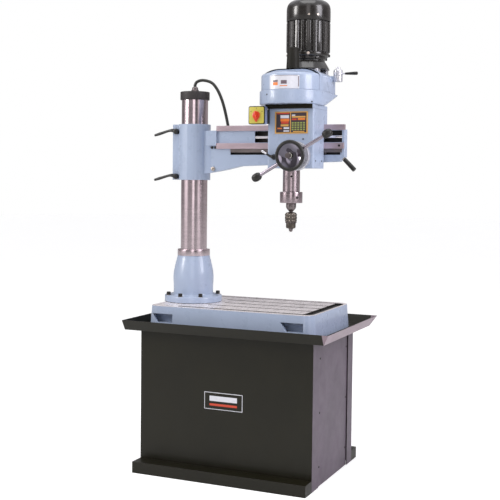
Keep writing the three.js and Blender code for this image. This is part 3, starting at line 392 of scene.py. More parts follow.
# Dark finish for the guard plate's front strip: a painted shadow under the overhanging guard.
UNDER_GUARD_SHADOW = coat(
    "painted_shadow_under_guard", linear(34, 31, 22), 0.6, rounding=0, mottle=0.2, mottle_scale=20, specular=0.1,
)
CHROME = coat(
    "chrome", linear(232, 230, 234), 0.09, metallic=1, rounding=0.6 * MM, mottle=0.03, grain=200,
    depth=0.004 * MM, spread=0.03,
)
BRIGHT = coat(
    "turned_aluminium", linear(204, 204, 211), 0.30, metallic=0.55, rounding=0.8 * MM, mottle=0.04,
    grain=600, depth=0.01 * MM, spread=0.08,
)
SATIN = coat(
    "satin_chrome", linear(160, 152, 162), 0.16, metallic=1, rounding=0.6 * MM, mottle=0.05, grain=260,
    depth=0.006 * MM, spread=0.04,
)
# A darker copy of the ground steel, for the quill and its collar.
DARK_GROUND = coat(
    "darker_ground_steel", linear(182, 167, 172), 0.24, metallic=1, rounding=0, mottle=0.07, mottle_scale=30,
    grain=380, depth=0.008 * MM, stretch=(1, 1, 6), spread=0.06,
)
BLACK_STEEL = coat(
    "black_oxide", linear(40, 38, 36), 0.33, metallic=0.5, rounding=1.0 * MM, mottle=0.2,
    grain=300, depth=0.03 * MM, rubbed_and_lit_edge=linear(150, 145, 140), rubbed_and_lit_radius=0.7 * MM, rubbed_and_lit_amount=0.6,
)
MOTOR_BLACK = coat(
    "black_motor_enamel", linear(31, 28, 25), 0.26, rounding=1.6 * MM, mottle=0.08, grain=180,
    depth=0.06 * MM, clear=0.5, rubbed_and_lit_edge=linear(92, 84, 96), rubbed_and_lit_radius=1.2 * MM, rubbed_and_lit_amount=0.4,
)
PLASTIC = coat(
    "black_plastic", linear(25, 24, 21), 0.36, rounding=1.0 * MM, mottle=0.08, grain=700,
    depth=0.02 * MM, rubbed_and_lit_edge=linear(78, 76, 76), rubbed_and_lit_amount=0.35,
)
MATT_PLASTIC = coat(
    "matt_plastic", linear(30, 28, 23), 0.55, rounding=1.0 * MM, mottle=0.10, grain=500, depth=0.02 * MM,
    specular=0.2,
)
GRAINED = coat(
    "grained_plastic", linear(46, 42, 42), 0.55, rounding=1.5 * MM, mottle=0.06, grain=380,
    depth=0.12 * MM, rubbed_and_lit_edge=linear(96, 90, 96), rubbed_and_lit_radius=1.5 * MM, rubbed_and_lit_amount=0.3,
)
DISH = coat(
    "dark_dish", linear(132, 128, 140), 0.06, metallic=1, rounding=0.8 * MM, mottle=0.15, spread=0.05,
)
HOSE = coat("hose_rubber", linear(46, 46, 42), 0.38, rounding=0, mottle=0.10, grain=240, depth=0.05 * MM)
BELT = coat("belt_rubber", linear(32, 32, 34), 0.7, rounding=0, mottle=0.12, grain=500, depth=0.08 * MM)
CASTING = coat("cast_pulley", linear(176, 174, 178), 0.38, metallic=0.8, rounding=0.8 * MM, mottle=0.10)
GREASY = coat("greasy_steel", linear(120, 112, 112), 0.35, metallic=0.9, rounding=0.5 * MM, mottle=0.2)
# The tool steel's near-white edges are a painted highlight on the chuck's knurl and edges.
TOOL_STEEL = coat(
    "tool_steel", linear(104, 97, 90), 0.22, metallic=0.95, rounding=0.3 * MM, mottle=0.25, mottle_scale=60,
    rubbed_and_lit_edge=linear(236, 228, 220), rubbed_and_lit_radius=1.2 * MM, rubbed_and_lit_amount=1.0,
)
ZINC = coat("satin_zinc", linear(214, 210, 198), 0.4, metallic=0.3, rounding=0.8 * MM, mottle=0.12)
NICKEL = coat("nickel", linear(186, 176, 166), 0.26, metallic=1, rounding=0.6 * MM, mottle=0.15)
YELLOW = coat("yellow_face", linear(200, 188, 84), 0.34, rounding=0.5 * MM, mottle=0.03, grain=400)
RED = coat("red_knob", linear(216, 62, 30), 0.28, rounding=1.2 * MM, mottle=0.05, clear=0.3)
SHELL = coat("blue_grey_shell", linear(150, 162, 196), 0.36, rounding=1.2 * MM, mottle=0.03, grain=500)
WHITE_FILM = coat("white_film", linear(222, 222, 230), 0.26, rounding=0, mottle=0.02, clear=0.3)


def ink(name, *rgb, roughness=0.35, mottle=0.06):
    """A flat printed colour."""
    return coat(name, linear(*rgb), roughness, rounding=0, mottle=mottle)


GREY_INK = ink("grey_ink", 112, 96, 104, roughness=0.4, mottle=0.05)
DARK_INK = ink("dark_ink", 62, 50, 58, mottle=0.10)
RED_INK = ink("red_ink", 206, 70, 44)
ORANGE_INK = ink("orange_ink", 236, 128, 50)
GOLD_INK = ink("gold_ink", 222, 168, 84)
GREEN_INK = ink("green_ink", 150, 160, 84)


# ---- Mesh helpers ----
def mesh_object(name, bm, material, smooth=40):
    mesh = bpy.data.meshes.new(name)
    bmesh.ops.recalc_face_normals(bm, faces=bm.faces)
    bm.to_mesh(mesh)
    bm.free()
    mesh.materials.append(material)
    mesh.shade_smooth()
    mesh.set_sharp_from_angle(angle=radians(smooth))
    obj = bpy.data.objects.new(name, mesh)
    bpy.context.scene.collection.objects.link(obj)
    return obj


def piece(name, meshes, material, body, replaces=(), smooth=40):
    """A visible piece that rides on a body, from one mesh or from a list of them."""
    bm = merged(*meshes) if isinstance(meshes, list) else meshes
    obj = mesh_object(name, bm, material, smooth)
    if replaces:
        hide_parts(*replaces)
    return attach(obj, body)


def placed(bm, origin, axis=UP, turn=0.0):
    """Turns the mesh about its own Z, lays that Z along axis, and moves the mesh to origin."""
    spin = Matrix.Rotation(turn, 4, "Z")
    stand = Vector(axis).to_track_quat("Z", "Y").to_matrix().to_4x4()
    bm.transform(Matrix.Translation(Vector(origin)) @ stand @ spin)
    return bm


def bridge_rings(rings, closed_ends=True):
    """Joins rings of points, each a list of the same length or a single point at a pole."""
    bm = bmesh.new()
    made = [[bm.verts.new(point) for point in ring] for ring in rings]
    for lower, upper in zip(made, made[1:]):
        count = max(len(lower), len(upper))
        for i in range(count):
            j = (i + 1) % count
            corners = [lower[i % len(lower)], lower[j % len(lower)]]
            corners += [upper[j % len(upper)], upper[i % len(upper)]]
            corners = list(dict.fromkeys(corners))
            if len(corners) > 2:
                bm.faces.new(corners)
    if closed_ends:
        for ring in (made[0], made[-1]):
            if len(ring) > 2:
                bm.faces.new(ring)
    return bm


def band(rings):
    """Joins rings of points where the last ring repeats the first one."""
    bm = bridge_rings(rings, closed_ends=False)
    bmesh.ops.remove_doubles(bm, verts=bm.verts, dist=0.01 * MM)
    return bm


def turns(steps):
    """Angles that go once round a circle."""
    return [2 * pi * i / steps for i in range(steps)]


def polar(radius, angle, height, centre=Vector((0, 0))):
    return (centre.x + radius * cos(angle), centre.y + radius * sin(angle), height)


def circle(radius, height, steps=64):
    if radius == 0:
        return [(0, 0, height)]
    return [polar(radius, a, height) for a in turns(steps)]


def fluted(radius, height, dent, flutes, steps, power=1):
    """A circle about Z whose radius dips by dent at each flute."""
    return [
        polar(radius - dent * (0.5 + 0.5 * cos(flutes * a)) ** power, a, height) for a in turns(steps)
    ]


def lathe(profile, steps=64):
    """A turned solid about Z, from (radius, height) pairs."""
    return bridge_rings([circle(radius, height, steps) for radius, height in profile])


def rounded(profile, radius, steps=4):
    """The profile with its inner corners rounded off by arcs of about that radius."""
    points = [Vector(p) for p in profile]
    result = [points[0]]
    for before, corner, after in zip(points, points[1:], points[2:]):
        reach = min(radius, (before - corner).length / 2.1, (after - corner).length / 2.1)
        start = corner + (before - corner).normalized() * reach
        end = corner + (after - corner).normalized() * reach
        for i in range(steps + 1):
            t = i / steps
            result.append(start * (1 - t) ** 2 + corner * (2 * t * (1 - t)) + end * t**2)
    result.append(points[-1])
    return [(p.x, p.y) for p in result]


def spline(points, per_span=6):
    """A smooth curve through the points, as a list of vectors."""
    p = [Vector(q) for q in points]
    p = [2 * p[0] - p[1]] + p + [2 * p[-1] - p[-2]]
    curve = []
    for a, b, c, d in zip(p, p[1:], p[2:], p[3:]):
        for i in range(per_span):
            t = i / per_span
            square, cube = 2 * a - 5 * b + 4 * c - d, 3 * b - a - 3 * c + d
            curve.append((2 * b + (c - a) * t + square * t**2 + cube * t**3) / 2)
    return curve + [p[-2]]


def sweep(points, radii, sides=20):
    """A round bar along points, whose radius runs through radii from end to end."""
    rings = []
    tangent = (points[1] - points[0]).normalized()
    side = tangent.orthogonal().normalized()
    for i, point in enumerate(points):
        ahead = points[min(i + 1, len(points) - 1)] - points[max(i - 1, 0)]
        turn = tangent.rotation_difference(ahead.normalized())
        side = (turn @ side).normalized()
        tangent = ahead.normalized()
        across = tangent.cross(side)
        place = i / (len(points) - 1) * (len(radii) - 1)
        low = min(int(place), len(radii) - 2)
        radius = radii[low] + (radii[low + 1] - radii[low]) * (place - low)
        rings.append([point + (side * cos(a) + across * sin(a)) * radius for a in turns(sides)])
    return bridge_rings(rings)


def disc(radius, height, steps=32, edge=0.0):
    """A plain round disc or rod, standing on its own origin, with rounded edges."""
    profile = [(0, 0), (radius, 0), (radius, height), (0, height)]
    return lathe(rounded(profile, edge) if edge else profile, steps)


def screw_head(radius, top_radius, rim, height, steps=20):
    """A low domed screw head, standing on its own origin."""
    return lathe([(0, 0), (radius, 0), (top_radius, rim), (0, height)], steps)


def in_mm(*points):
    """Points in metres, from points in millimetres."""
    return [tuple(value * MM for value in point) for point in points]


def slab(outline, low, high, edge=0.0, steps=2):
    """An upright plate with that outline, whose edges are rounded by edge."""
    bm = bridge_rings([[(x, y, height) for x, y in outline] for height in (low, high)])
    if edge:
        bmesh.ops.recalc_face_normals(bm, faces=bm.faces)
        sharp = [e for e in bm.edges if e.calc_face_angle(0) > radians(50)]
        bmesh.ops.bevel(bm, geom=sharp, offset=edge, segments=steps, affect="EDGES", profile=0.5)
    return bm


def block(low, high, edge=1.0 * MM, steps=3):
    """A box with rounded edges."""
    (left, front, bottom), (right, back, top) = low, high
    return slab([(left, front), (right, front), (right, back), (left, back)], bottom, top, edge, steps)


def rounded_plate(width, height, corner, steps=5):
    """The outline of a plate with round corners, centred on its own origin."""
    points = []
    for turn, (right, up) in enumerate(((1, 1), (-1, 1), (-1, -1), (1, -1))):
        centre = Vector((right * (width / 2 - corner), up * (height / 2 - corner)))
        for i in range(steps + 1):
            points.append(polar(corner, pi / 2 * (turn + i / steps), 0, centre)[:2])
    return points


def merged(*meshes):
    """One mesh of several, which it uses up."""
    whole = bmesh.new()
    for bm in meshes:
        part = bpy.data.meshes.new("part")
        bm.to_mesh(part)
        bm.free()
        whole.from_mesh(part)
        bpy.data.meshes.remove(part)
    return whole


def socket_screw(radius, height, turn=0.0):
    """A cap screw's head with its hexagon socket, standing on its own origin."""
    hexagon, steps = radius * 0.52, 36
    rings = [circle(radius, 0, steps), circle(radius, height * 0.9, steps)]
    rings += [circle(radius * 0.93, height, steps), circle(hexagon * 1.12, height, steps)]
    for z in (height, height * 0.45):
        ring = []
        for a in turns(steps):
            flat = cos(pi / 6) / cos((a + turn) % (pi / 3) - pi / 6)
            ring.append(polar(hexagon * flat, a, z))
        rings.append(ring)
    return bridge_rings(rings)


def hex_head(radius, height):
    hexagon = [polar(radius, a, 0)[:2] for a in turns(6)]
    crown = [(0, height), (radius * 0.8, height), (radius * 0.72, height * 1.08), (0, height * 1.08)]
    return merged(slab(hexagon, 0, height, radius * 0.06), lathe(crown, 24))


def repaint(names, material):
    for name in names.split():
        NODES[name].data.materials[0] = material


def facing(centre, radius, degrees, height):
    """A point on an upright cylinder, so many degrees to the right of the camera's side, and its normal."""
    normal = TO_CAMERA * cos(radians(degrees)) + TO_RIGHT * sin(radians(degrees))
    normal = normal.normalized()
    return Vector((centre.x + normal.x * radius, centre.y + normal.y * radius, height)), normal.to_3d()


def low_high(node):
    return LOW[node].z, HIGH[node].z


def turned_piece(name, node, profile, material, body, steps=96, replaces=None):
    """A lathe piece that stands on a node's own upright axis."""
    centre = middle(node)
    bm = placed(lathe(profile, steps), (centre.x, centre.y, 0))
    return piece(name, bm, material, body, [node] if replaces is None else replaces)


# ---- Stand, tray and base ----
def dress_stand():
    repaint("front_plinth rear_plinth", POWDER)
    # The side panels and the pedestals' side faces get the lighter copy: a painted sheen.
    repaint("left_side_panel right_side_panel", SIDE_SHEEN_POWDER)
    for node in ("front_pedestal", "rear_pedestal"):
        low, high = LOW[node], HIGH[node]
        sides = [
            (low - RIGHT * MM, (low.x + 0.5 * MM, high.y + MM, high.z)),
            ((high.x - 0.5 * MM, low.y + MM, low.z), high + RIGHT * MM),
        ]
        repaint(node, layered(node + "_finish", POWDER, [(SIDE_SHEEN_POWDER, sides)]))
    # The tray's right-hand flange gets the pale copy: a painted sheen.
    low, high = LOW["chip_tray"], HIGH["chip_tray"]
    flange = ((high.x - 26 * MM, low.y, low.z), high + RIGHT * MM)
    repaint("chip_tray", layered("tray_finish", POWDER, [(FLANGE_SHEEN_POWDER, [flange])]))
    dress_badge()


def dress_badge():
    """A framed plate with two plain bars in place of any name."""
    left, right, bottom, top = -0.1016, 0.0705, 0.2895, 0.360
    width, height = right - left, top - bottom
    origin = Vector(((left + right) / 2, LOW["front_pedestal"].y, (bottom + top) / 2))
    layers = [
        ("badge_rim", width, height, 0.0, 1.0 * MM, WHITE_FILM),
        ("badge_field", width - 5 * MM, height - 5 * MM, 0.0, 1.3 * MM, POWDER),
        ("badge_bar", width * 0.72, height * 0.30, height * 0.14, 1.6 * MM, WHITE_FILM),
        ("badge_stripe", width * 0.72, height * 0.13, -height * 0.22, 1.6 * MM, RED_INK),
    ]
    for name, across, tall, lift, thick, material in layers:
        plate = slab(rounded_plate(across, tall, 1.5 * MM), 0, thick)
        piece(name, placed(plate, origin + UP * lift, FRONT), material, "stand")


def panel_screws():
    """Round-headed screws that hold the side panels to the pedestals."""
    profile = in_mm((0, 0), (4.5, 0), (4.2, 1.2), (2.4, 2.2), (0, 2.5))
    heads = []
    for panel, outward in (("left_side_panel", -RIGHT), ("right_side_panel", RIGHT)):
        face = LOW[panel].x if outward.x < 0 else HIGH[panel].x
        for y in (LOW[panel].y + 14 * MM, HIGH[panel].y - 14 * MM):
            for height in (0.08, 0.30, 0.52):
                heads.append(placed(lathe(profile, 20), (face, y, height), outward))
    piece("panel_screws", heads, BLACK_STEEL, "stand")


def dress_base():
    """The enamelled casting, with its ground top, and painted shade in its slots and trough."""
    low, high = LOW["base_casting"], HIGH["base_casting"]
    top = high.z
    ground = ((low.x, low.y, top - 0.5 * MM), (high.x, high.y, top + 1 * MM))
    # Painted shade inside the slots and the trough.
    shaded_slots = ((-0.2535, -0.219, top - 21 * MM), (0.3495, 0.206, top - 0.5 * MM))
    finish = layered("base_finish", ENAMEL, [(TABLE_TOP, [ground]), (DARK_JOINT_AND_SHADE, [shaded_slots])])
    repaint("base_casting", finish)
    dress_pockets()


def dress_pockets():
    """A back and a floor for each of the two lifting pockets in the base's front."""
    width, back = 0.107, -0.2044
    linings = []
    for left in (-0.3595, 0.2235):
        linings.append(block((left, back - 4 * MM, 0.6285), (left + width, back, 0.6690)))
        linings.append(block((left, -0.2340, 0.6275), (left + width, back, 0.6305)))
    piece("pocket_linings", linings, ENAMEL, "stand")


def dress_foot():
    low, top = low_high("column_foot")
    flange = 726 * MM
    centre = middle("column_foot")
    radius = (HIGH["column_foot"].x - LOW["column_foot"].x) / 2
    bell = spline([
        (0.0935, 0, flange + 0.5 * MM), (0.0882, 0, flange + 6 * MM), (0.0868, 0, 0.747), (0.0870, 0, 0.765),
        (0.0880, 0, 0.783), (0.0886, 0, 0.805), (0.0868, 0, 0.827), (0.0826, 0, 0.849), (0.0775, 0, 0.871),
        (0.0718, 0, 0.893),
    ], 5)
    profile = [(0.058, low), (radius - 1.5 * MM, low), (radius, low + 1.5 * MM), (radius, flange - 2.5 * MM)]
    profile += [(radius - 0.8 * MM, flange - 0.8 * MM), (radius - 2.5 * MM, flange), (0.096, flange)]
    profile += [(p.x, p.z) for p in bell] + [(0.0708, top - 1 * MM), (0.0695, top), (0.058, top)]
    turned_piece("column_foot_casting", "column_foot", profile, ENAMEL, "stand", 128)
    washers = []
    for i in range(1, 7):
        node = f"foot_bolt_{i}"
        at = (middle(node).x, middle(node).y, flange)
        screw = placed(socket_screw(9 * MM, HIGH[node].z - flange, i), at)
        piece(f"foot_screw_{i}", screw, BLACK_STEEL, "stand", [node], 30)
        washers.append(placed(disc(12 * MM, 1.2 * MM), at))
    piece("foot_washers", washers, NICKEL, "stand")
    joint = placed(disc(radius + 0.4 * MM, 1.2 * MM, 96), (centre.x, centre.y, low - 0.2 * MM))
    piece("foot_joint", joint, DARK_JOINT_AND_SHADE, "stand")


# ---- Column ----
def dress_column():
    low, top = low_high("column_tube")
    radius = (HIGH["column_tube"].x - LOW["column_tube"].x) / 2
    bore = 48 * MM
    tube = [(bore, low), (radius, low), (radius, top - 1 * MM), (radius - 1 * MM, top), (bore, top)]
    turned_piece("ground_column", "column_tube", tube, GROUND, "column", 128)

    low, top = low_high("column_collar")
    bore, radius = 57.5 * MM, 71 * MM
    ring = rounded([(bore, low), (radius, low), (radius, top), (bore, top)], 1.5 * MM)
    turned_piece("column_ring", "column_collar", ring, GROUND, "column", 128)

    low, top = low_high("column_cap")
    rim = top - 35 * MM
    plug, radius = 47 * MM, 64 * MM
    cap = [(plug, low), (plug, rim), (radius, rim), (radius, top), (30 * MM, top), (0, top)]
    turned_piece("moulded_cap", "column_cap", rounded(cap, 2.5 * MM), GRAINED, "column")
    dress_hose()


HOSE_ROUTE = [
    (-0.285, -0.0065, 1.6366), (-0.285, -0.0065, 1.6446), (-0.276, -0.0055, 1.6586), (-0.251, 0, 1.665),
    (-0.217, 0.006, 1.657), (-0.197, 0.014, 1.638), (-0.177, 0.022, 1.600), (-0.160, 0.029, 1.546),
    (-0.145, 0.036, 1.472), (-0.134, 0.041, 1.400), (-0.119, 0.0315, 1.330), (-0.090, 0.0325, 1.297),
    (-0.063, 0.0325, 1.326), (-0.060, 0.0325, 1.374), (-0.060, 0.0325, 1.3857),
]
HOSE_DIAMETER = 13 * MM


def dress_hose():
    """The conduit from the column's cap, over and down into the box behind the arm."""
    low, top = low_high("conduit_gland")
    centre = middle("conduit_gland")
    nut = placed(hex_head(16.5 * MM, 10 * MM), (centre.x, centre.y, low), UP, 0.4)
    neck_profile = [(0, low), (13 * MM, low), (13 * MM, top - 4 * MM), (10 * MM, top), (0, top)]
    neck = placed(lathe(rounded(neck_profile, 1 * MM), 40), (centre.x, centre.y, 0))
    piece("hose_gland", [nut, neck], GREASY, "column", ["conduit_gland"])
    path = spline(HOSE_ROUTE, 8)
    hose = mesh_object("bent_conduit", sweep(path, [HOSE_DIAMETER / 2] * 2, 20), HOSE)
    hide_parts("conduit_hose")
    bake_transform(hose)


# ---- Arm ----
def dress_arm():
    """The enamelled casting, with bright ground ways, and painted shade in its window and groove."""
    upper = ((-0.1515, -0.070, 1.4395), (0.4215, -0.0440, 1.4625))
    lower = ((-0.1515, -0.070, 1.3635), (0.4215, -0.0585, 1.3885))
    # Painted shade in the window and in the groove under the lower way.
    window = ((0.0255, -0.0570, 1.3895), (0.4115, -0.0305, 1.4385))
    groove = ((-0.0875, -0.0570, 1.3385), (0.4215, -0.0375, 1.3634))
    finish = layered("arm_finish", ENAMEL, [(WAY, [upper, lower]), (DARK_JOINT_AND_SHADE, [window, groove])])
    repaint("radial_arm", finish)
    repaint("traverse_rack", GREASY)
    end = block((0.404, -0.0583, 1.3385), (0.4214, -0.0385, 1.3642), 1 * MM)
    piece("groove_end", end, ENAMEL, "arm")
    low, high = LOW["clamp_bar"], HIGH["clamp_bar"]
    ends = [Vector((x, (low.y + high.y) / 2, (low.z + high.z) / 2)) for x in (low.x, high.x)]
    bar = sweep(ends, [(high.z - low.z) / 2] * 2, 40)
    piece("round_bar", bar, CHROME, "arm", ["clamp_bar"])
    dress_arm_handle()
    dress_junction_box()
    arm_screws()


def dress_arm_handle():
    """A black pull handle at the arm's free end, sloping down to the right."""
    low, high = LOW["arm_handle"], HIGH["arm_handle"]
    slope = Vector((1, 0, -1)).normalized()
    depth = (low.y + high.y) / 2
    root = Vector((0.4137, depth, 1.3243))
    grip_length = (high.x - root.x) * math.sqrt(2) - 8 * MM
    rings = [[(0, 0, 3 * MM)]]
    ribs = ((3, 6, 0), (4, 8.2, 0), (7, 9, 0.6), (32, 9.3, 1), (56, 9.6, 1), (60, 9.6, 0.4))
    for reach, radius, ribbed in ribs:
        rings.append(fluted(radius * MM, reach / 60 * (grip_length - 2 * MM), 0.55 * ribbed * MM, 10, 80))
    rings += [circle(radius, grip_length, 80) for radius in (8.4 * MM, 4 * MM)]
    rings.append([(0, 0, grip_length - 1 * MM)])
    grip = placed(bridge_rings(rings), root, slope)
    piece("pull_grip", grip, PLASTIC, "arm", ["arm_handle"])
    collar = placed(disc(7 * MM, 3 * MM), root - slope * 2 * MM, slope)
    piece("grip_collar", collar, NICKEL, "arm")


def dress_junction_box():
    low, high = LOW["junction_box"], HIGH["junction_box"]
    body = block(low, (high.x, high.y - 8 * MM, high.z), 3 * MM)
    piece("terminal_box", body, GRAINED, "arm", ["junction_box"])
    lid_low = (low.x - 1 * MM, high.y - 7.5 * MM, low.z - 1 * MM)
    lid = block(lid_low, (high.x + 1 * MM, high.y, high.z + 1 * MM), 2 * MM)
    piece("terminal_lid", lid, GRAINED, "arm")
    heads = []
    for x in (low.x + 7 * MM, high.x - 7 * MM):
        for z in (low.z + 7 * MM, high.z - 7 * MM):
            screw = screw_head(3.2 * MM, 3.0 * MM, 1.2 * MM, 1.8 * MM)
            heads.append(placed(screw, (x, high.y - 0.4 * MM, z), -FRONT))
    piece("lid_screws", heads, NICKEL, "arm")
    gland = hex_head(12 * MM, 9 * MM)
    piece("box_gland", placed(gland, (-0.060, 0.0325, low.z), -UP), GRAINED, "arm")


def arm_screws():
    """Small bolt heads on the arm: a stop screw on the lower way, and the clamp bolts by the sleeve."""
    stop = placed(socket_screw(4.5 * MM, 4 * MM), (0.402, -0.0665, 1.376), FRONT)
    end_stop = placed(socket_screw(4 * MM, 4 * MM), (0.404, -0.0580, 1.352), FRONT)
    piece("stop_screws", [stop, end_stop], BLACK_STEEL, "arm")
    heads = [placed(hex_head(6 * MM, 6 * MM), (x, -0.058, 1.370), FRONT) for x in (-0.174, -0.157)]
    piece("root_bolts", heads, BLACK_STEEL, "arm")
    plug = placed(disc(9 * MM, 9 * MM, 32, 3 * MM), (-0.168, -0.0565, 1.279), FRONT)
    piece("oil_plug", plug, NICKEL, "arm")


def dress_clamp(node, body, name):
    """A black clamp lever: a conical hub on the stud, and a bent handle to the left."""
    low, high = LOW[node], HIGH[node]
    root = Vector((-0.353, low.y, high.z - 13 * MM))
    back = Vector((root.x, high.y, root.z))
    hub = rounded(in_mm((0, 0), (10, 0), (12.5, 8), (12.5, 20), (8, 29), (0, 29)), 2 * MM)
    cone = placed(lathe(hub, 40), root - FRONT * 29 * MM, FRONT)
    bend = [root + Vector(step) for step in in_mm((0, 14, 0), (-16, 12, 4), (-34, 12, 3))]
    tip = Vector((low.x + 6 * MM, -0.0485, low.z + 6 * MM))
    path = spline(bend + [(bend[-1] + tip) / 2, tip], 8)
    handle = sweep(path, [radius * MM for radius in (9, 8.5, 7.5, 6, 5.5, 6, 6.5, 5)], 24)
    stud = placed(disc(6 * MM, high.y - low.y - 20 * MM, 24), back, FRONT)
    nut = placed(hex_head(11 * MM, 8 * MM), back + FRONT * 9 * MM, -FRONT)
    piece(name, [cone, handle], PLASTIC, body, [node])
    piece(name + "_stud", [stud, nut], BLACK_STEEL, body)


# ---- Head ----
def dress_head():
    repaint("head_casting", ENAMEL)
    # The base plate's front strip gets a painted shadow, where the guard above overhangs the head.
    low, high = LOW["guard_base_plate"], HIGH["guard_base_plate"]
    shadowed_brow = ((low.x + 2 * MM, low.y - MM, low.z - MM), (high.x - 2 * MM, LOW["head_casting"].y, high.z))
    repaint("guard_base_plate", layered("guard_plate_finish", ENAMEL, [(UNDER_GUARD_SHADOW, [shadowed_brow])]))
    repaint("switch_bracket", BLACK_STEEL)
    repaint("motor_pulley spindle_pulley", CASTING)
    repaint("drive_belt", BELT)
    repaint("feed_shaft traverse_shaft", GREASY)
    dress_chart()
    dress_switch()
    dress_head_lock()
    low, high = LOW["head_casting"], HIGH["head_casting"]
    heads = [placed(socket_screw(3 * MM, 2 * MM), (0.292, low.y, 1.398), FRONT)]
    for y in (-0.165, -0.090):
        heads.append(placed(socket_screw(3.5 * MM, 1.2 * MM), (high.x, y, 1.312), RIGHT))
    piece("head_screws", heads, BLACK_STEEL, "head")


def dress_chart():
    """A printed plate of generic coloured cells, with no lettering."""
    low, high = LOW["speed_chart_plate"], HIGH["speed_chart_plate"]
    width, height = high.x - low.x, high.z - low.z
    origin = Vector((low.x, high.y, low.z))

    def patch(left, bottom, right, top, thick):
        corners = [(left, bottom), (right, bottom), (right, top), (left, top)]
        outline = [(x * width, z * height) for x, z in corners]
        return placed(slab(outline, 0, thick), origin, FRONT)

    piece("chart_plate", patch(0, 0, 1, 1, 1.5 * MM), GOLD_INK, "head", ["speed_chart_plate"])
    fields = merged(patch(0.04, 0.05, 0.465, 0.95, 1.7 * MM), patch(0.49, 0.05, 0.96, 0.95, 1.7 * MM))
    piece("chart_fields", fields, DARK_INK, "head")
    white = [(0.17, 0.70, 0.43, 0.84), (0.27, 0.21, 0.44, 0.29)]
    white += [(0.27, 0.09, 0.44, 0.15), (0.52, 0.80, 0.62, 0.86)]
    red = [(0.06, 0.89, 0.44, 0.94), (0.19, 0.45, 0.42, 0.56), (0.52, 0.61, 0.66, 0.68)]
    orange = [(0.17, 0.56, 0.44, 0.68), (0.70, 0.61, 0.92, 0.70), (0.08, 0.21, 0.22, 0.27)]
    gold = [(0.18, 0.33, 0.42, 0.42), (0.52, 0.72, 0.93, 0.79), (0.56, 0.07, 0.90, 0.11)]
    cells = []
    for column in range(5):
        for row in range(4):
            left, bottom = 0.515 + column * 0.086, 0.15 + row * 0.10
            cells.append((left, bottom, left + 0.060, bottom + 0.065))
    prints = [("white", WHITE_FILM, white), ("red", RED_INK, red), ("orange", ORANGE_INK, orange)]
    prints += [("gold", GOLD_INK, gold), ("cells", GREEN_INK, cells)]
    for name, colour, boxes in prints:
        piece("chart_" + name, [patch(*box, 1.9 * MM) for box in boxes], colour, "head")


def dress_switch():
    low, high = LOW["switch_box"], HIGH["switch_box"]
    width, height = high.x - low.x, high.z - low.z
    centre = Vector((middle("switch_box").x, low.y, middle("switch_box").z))
    shell = slab(rounded_plate(width, height, 6 * MM), 0, high.y - low.y - 5 * MM, 1 * MM)
    placed(shell, (centre.x, high.y, centre.z), FRONT)
    piece("switch_shell", shell, SHELL, "head", ["switch_box"])
    rim = slab(rounded_plate(width, height, 7 * MM), 0, 5.2 * MM, 1 * MM)
    piece("switch_rim", placed(rim, centre - FRONT * 5.2 * MM, FRONT), PLASTIC, "head")
    face = slab(rounded_plate(width - 7 * MM, height - 7 * MM, 5 * MM), 0, 1.2 * MM, 0.4 * MM)
    piece("switch_face", placed(face, centre, FRONT), YELLOW, "head")
    marks = []
    for x, z in ((-24 * MM, 15 * MM), (24 * MM, 15 * MM), (0, 28 * MM)):
        dot = (centre.x + x, centre.y - 1.1 * MM, centre.z + z)
        marks.append(placed(disc(1.8 * MM, 0.6 * MM, 16), dot, FRONT))
    piece("switch_marks", marks, DARK_INK, "head")
    knob_radius, point = 16 * MM, 29 * MM
    lean = math.acos(knob_radius / point)
    arc = [(-pi / 2 + lean) + (2 * pi - 2 * lean) * i / 40 for i in range(41)]
    drop = [polar(knob_radius, a, 0)[:2] for a in arc] + [(0, -point)]
    base = slab(drop, 0, 8 * MM, 1.5 * MM)
    bar = slab(rounded_plate(9 * MM, 32 * MM, 4 * MM), 8 * MM, 16.5 * MM, 1.5 * MM)
    high = HIGH["switch_knob"]
    knob = placed(merged(base, bar), (middle("switch_knob").x, high.y, high.z - knob_radius), FRONT)
    piece("pointer_knob", knob, RED, "switch", ["switch_knob"])


def dress_head_lock():
    """A slim lock lever: a black cone on the head, a bent rod and a bright ball at its end."""
    low, high = LOW["head_lock_lever"], HIGH["head_lock_lever"]
    hub = Vector((0.172, 0, 1.326))
    front = low.y
    shaft = placed(disc(6 * MM, high.y - front - 14 * MM, 24), (hub.x, high.y, hub.z), FRONT)
    cone = rounded(in_mm((0, 0), (12, 0), (12, 12), (7, 27), (0, 27)), 2 * MM)
    cone = placed(lathe(cone, 36), (hub.x, front + 27 * MM, hub.z), FRONT)
    tip = Vector((low.x + 5 * MM, front + 8 * MM, high.z - 5 * MM))
    start = Vector((hub.x, front + 10 * MM, hub.z))
    curve = [start, start + Vector((-16, 0, 4)) * MM, start + Vector((-32, -1, 14)) * MM, tip]
    path = spline(curve, 8)
    dark = sweep(path[: len(path) * 2 // 3], [8 * MM, 5 * MM, 4 * MM], 20)
    piece("lock_lever", [shaft, cone, dark], BLACK_STEEL, "head_lock", ["head_lock_lever"])
    bright = sweep(path[len(path) * 2 // 3 - 1:], [3.4 * MM, 3.2 * MM, 4.2 * MM, 5 * MM, 4 * MM], 20)
    piece("lock_tip", bright, CHROME, "head_lock")


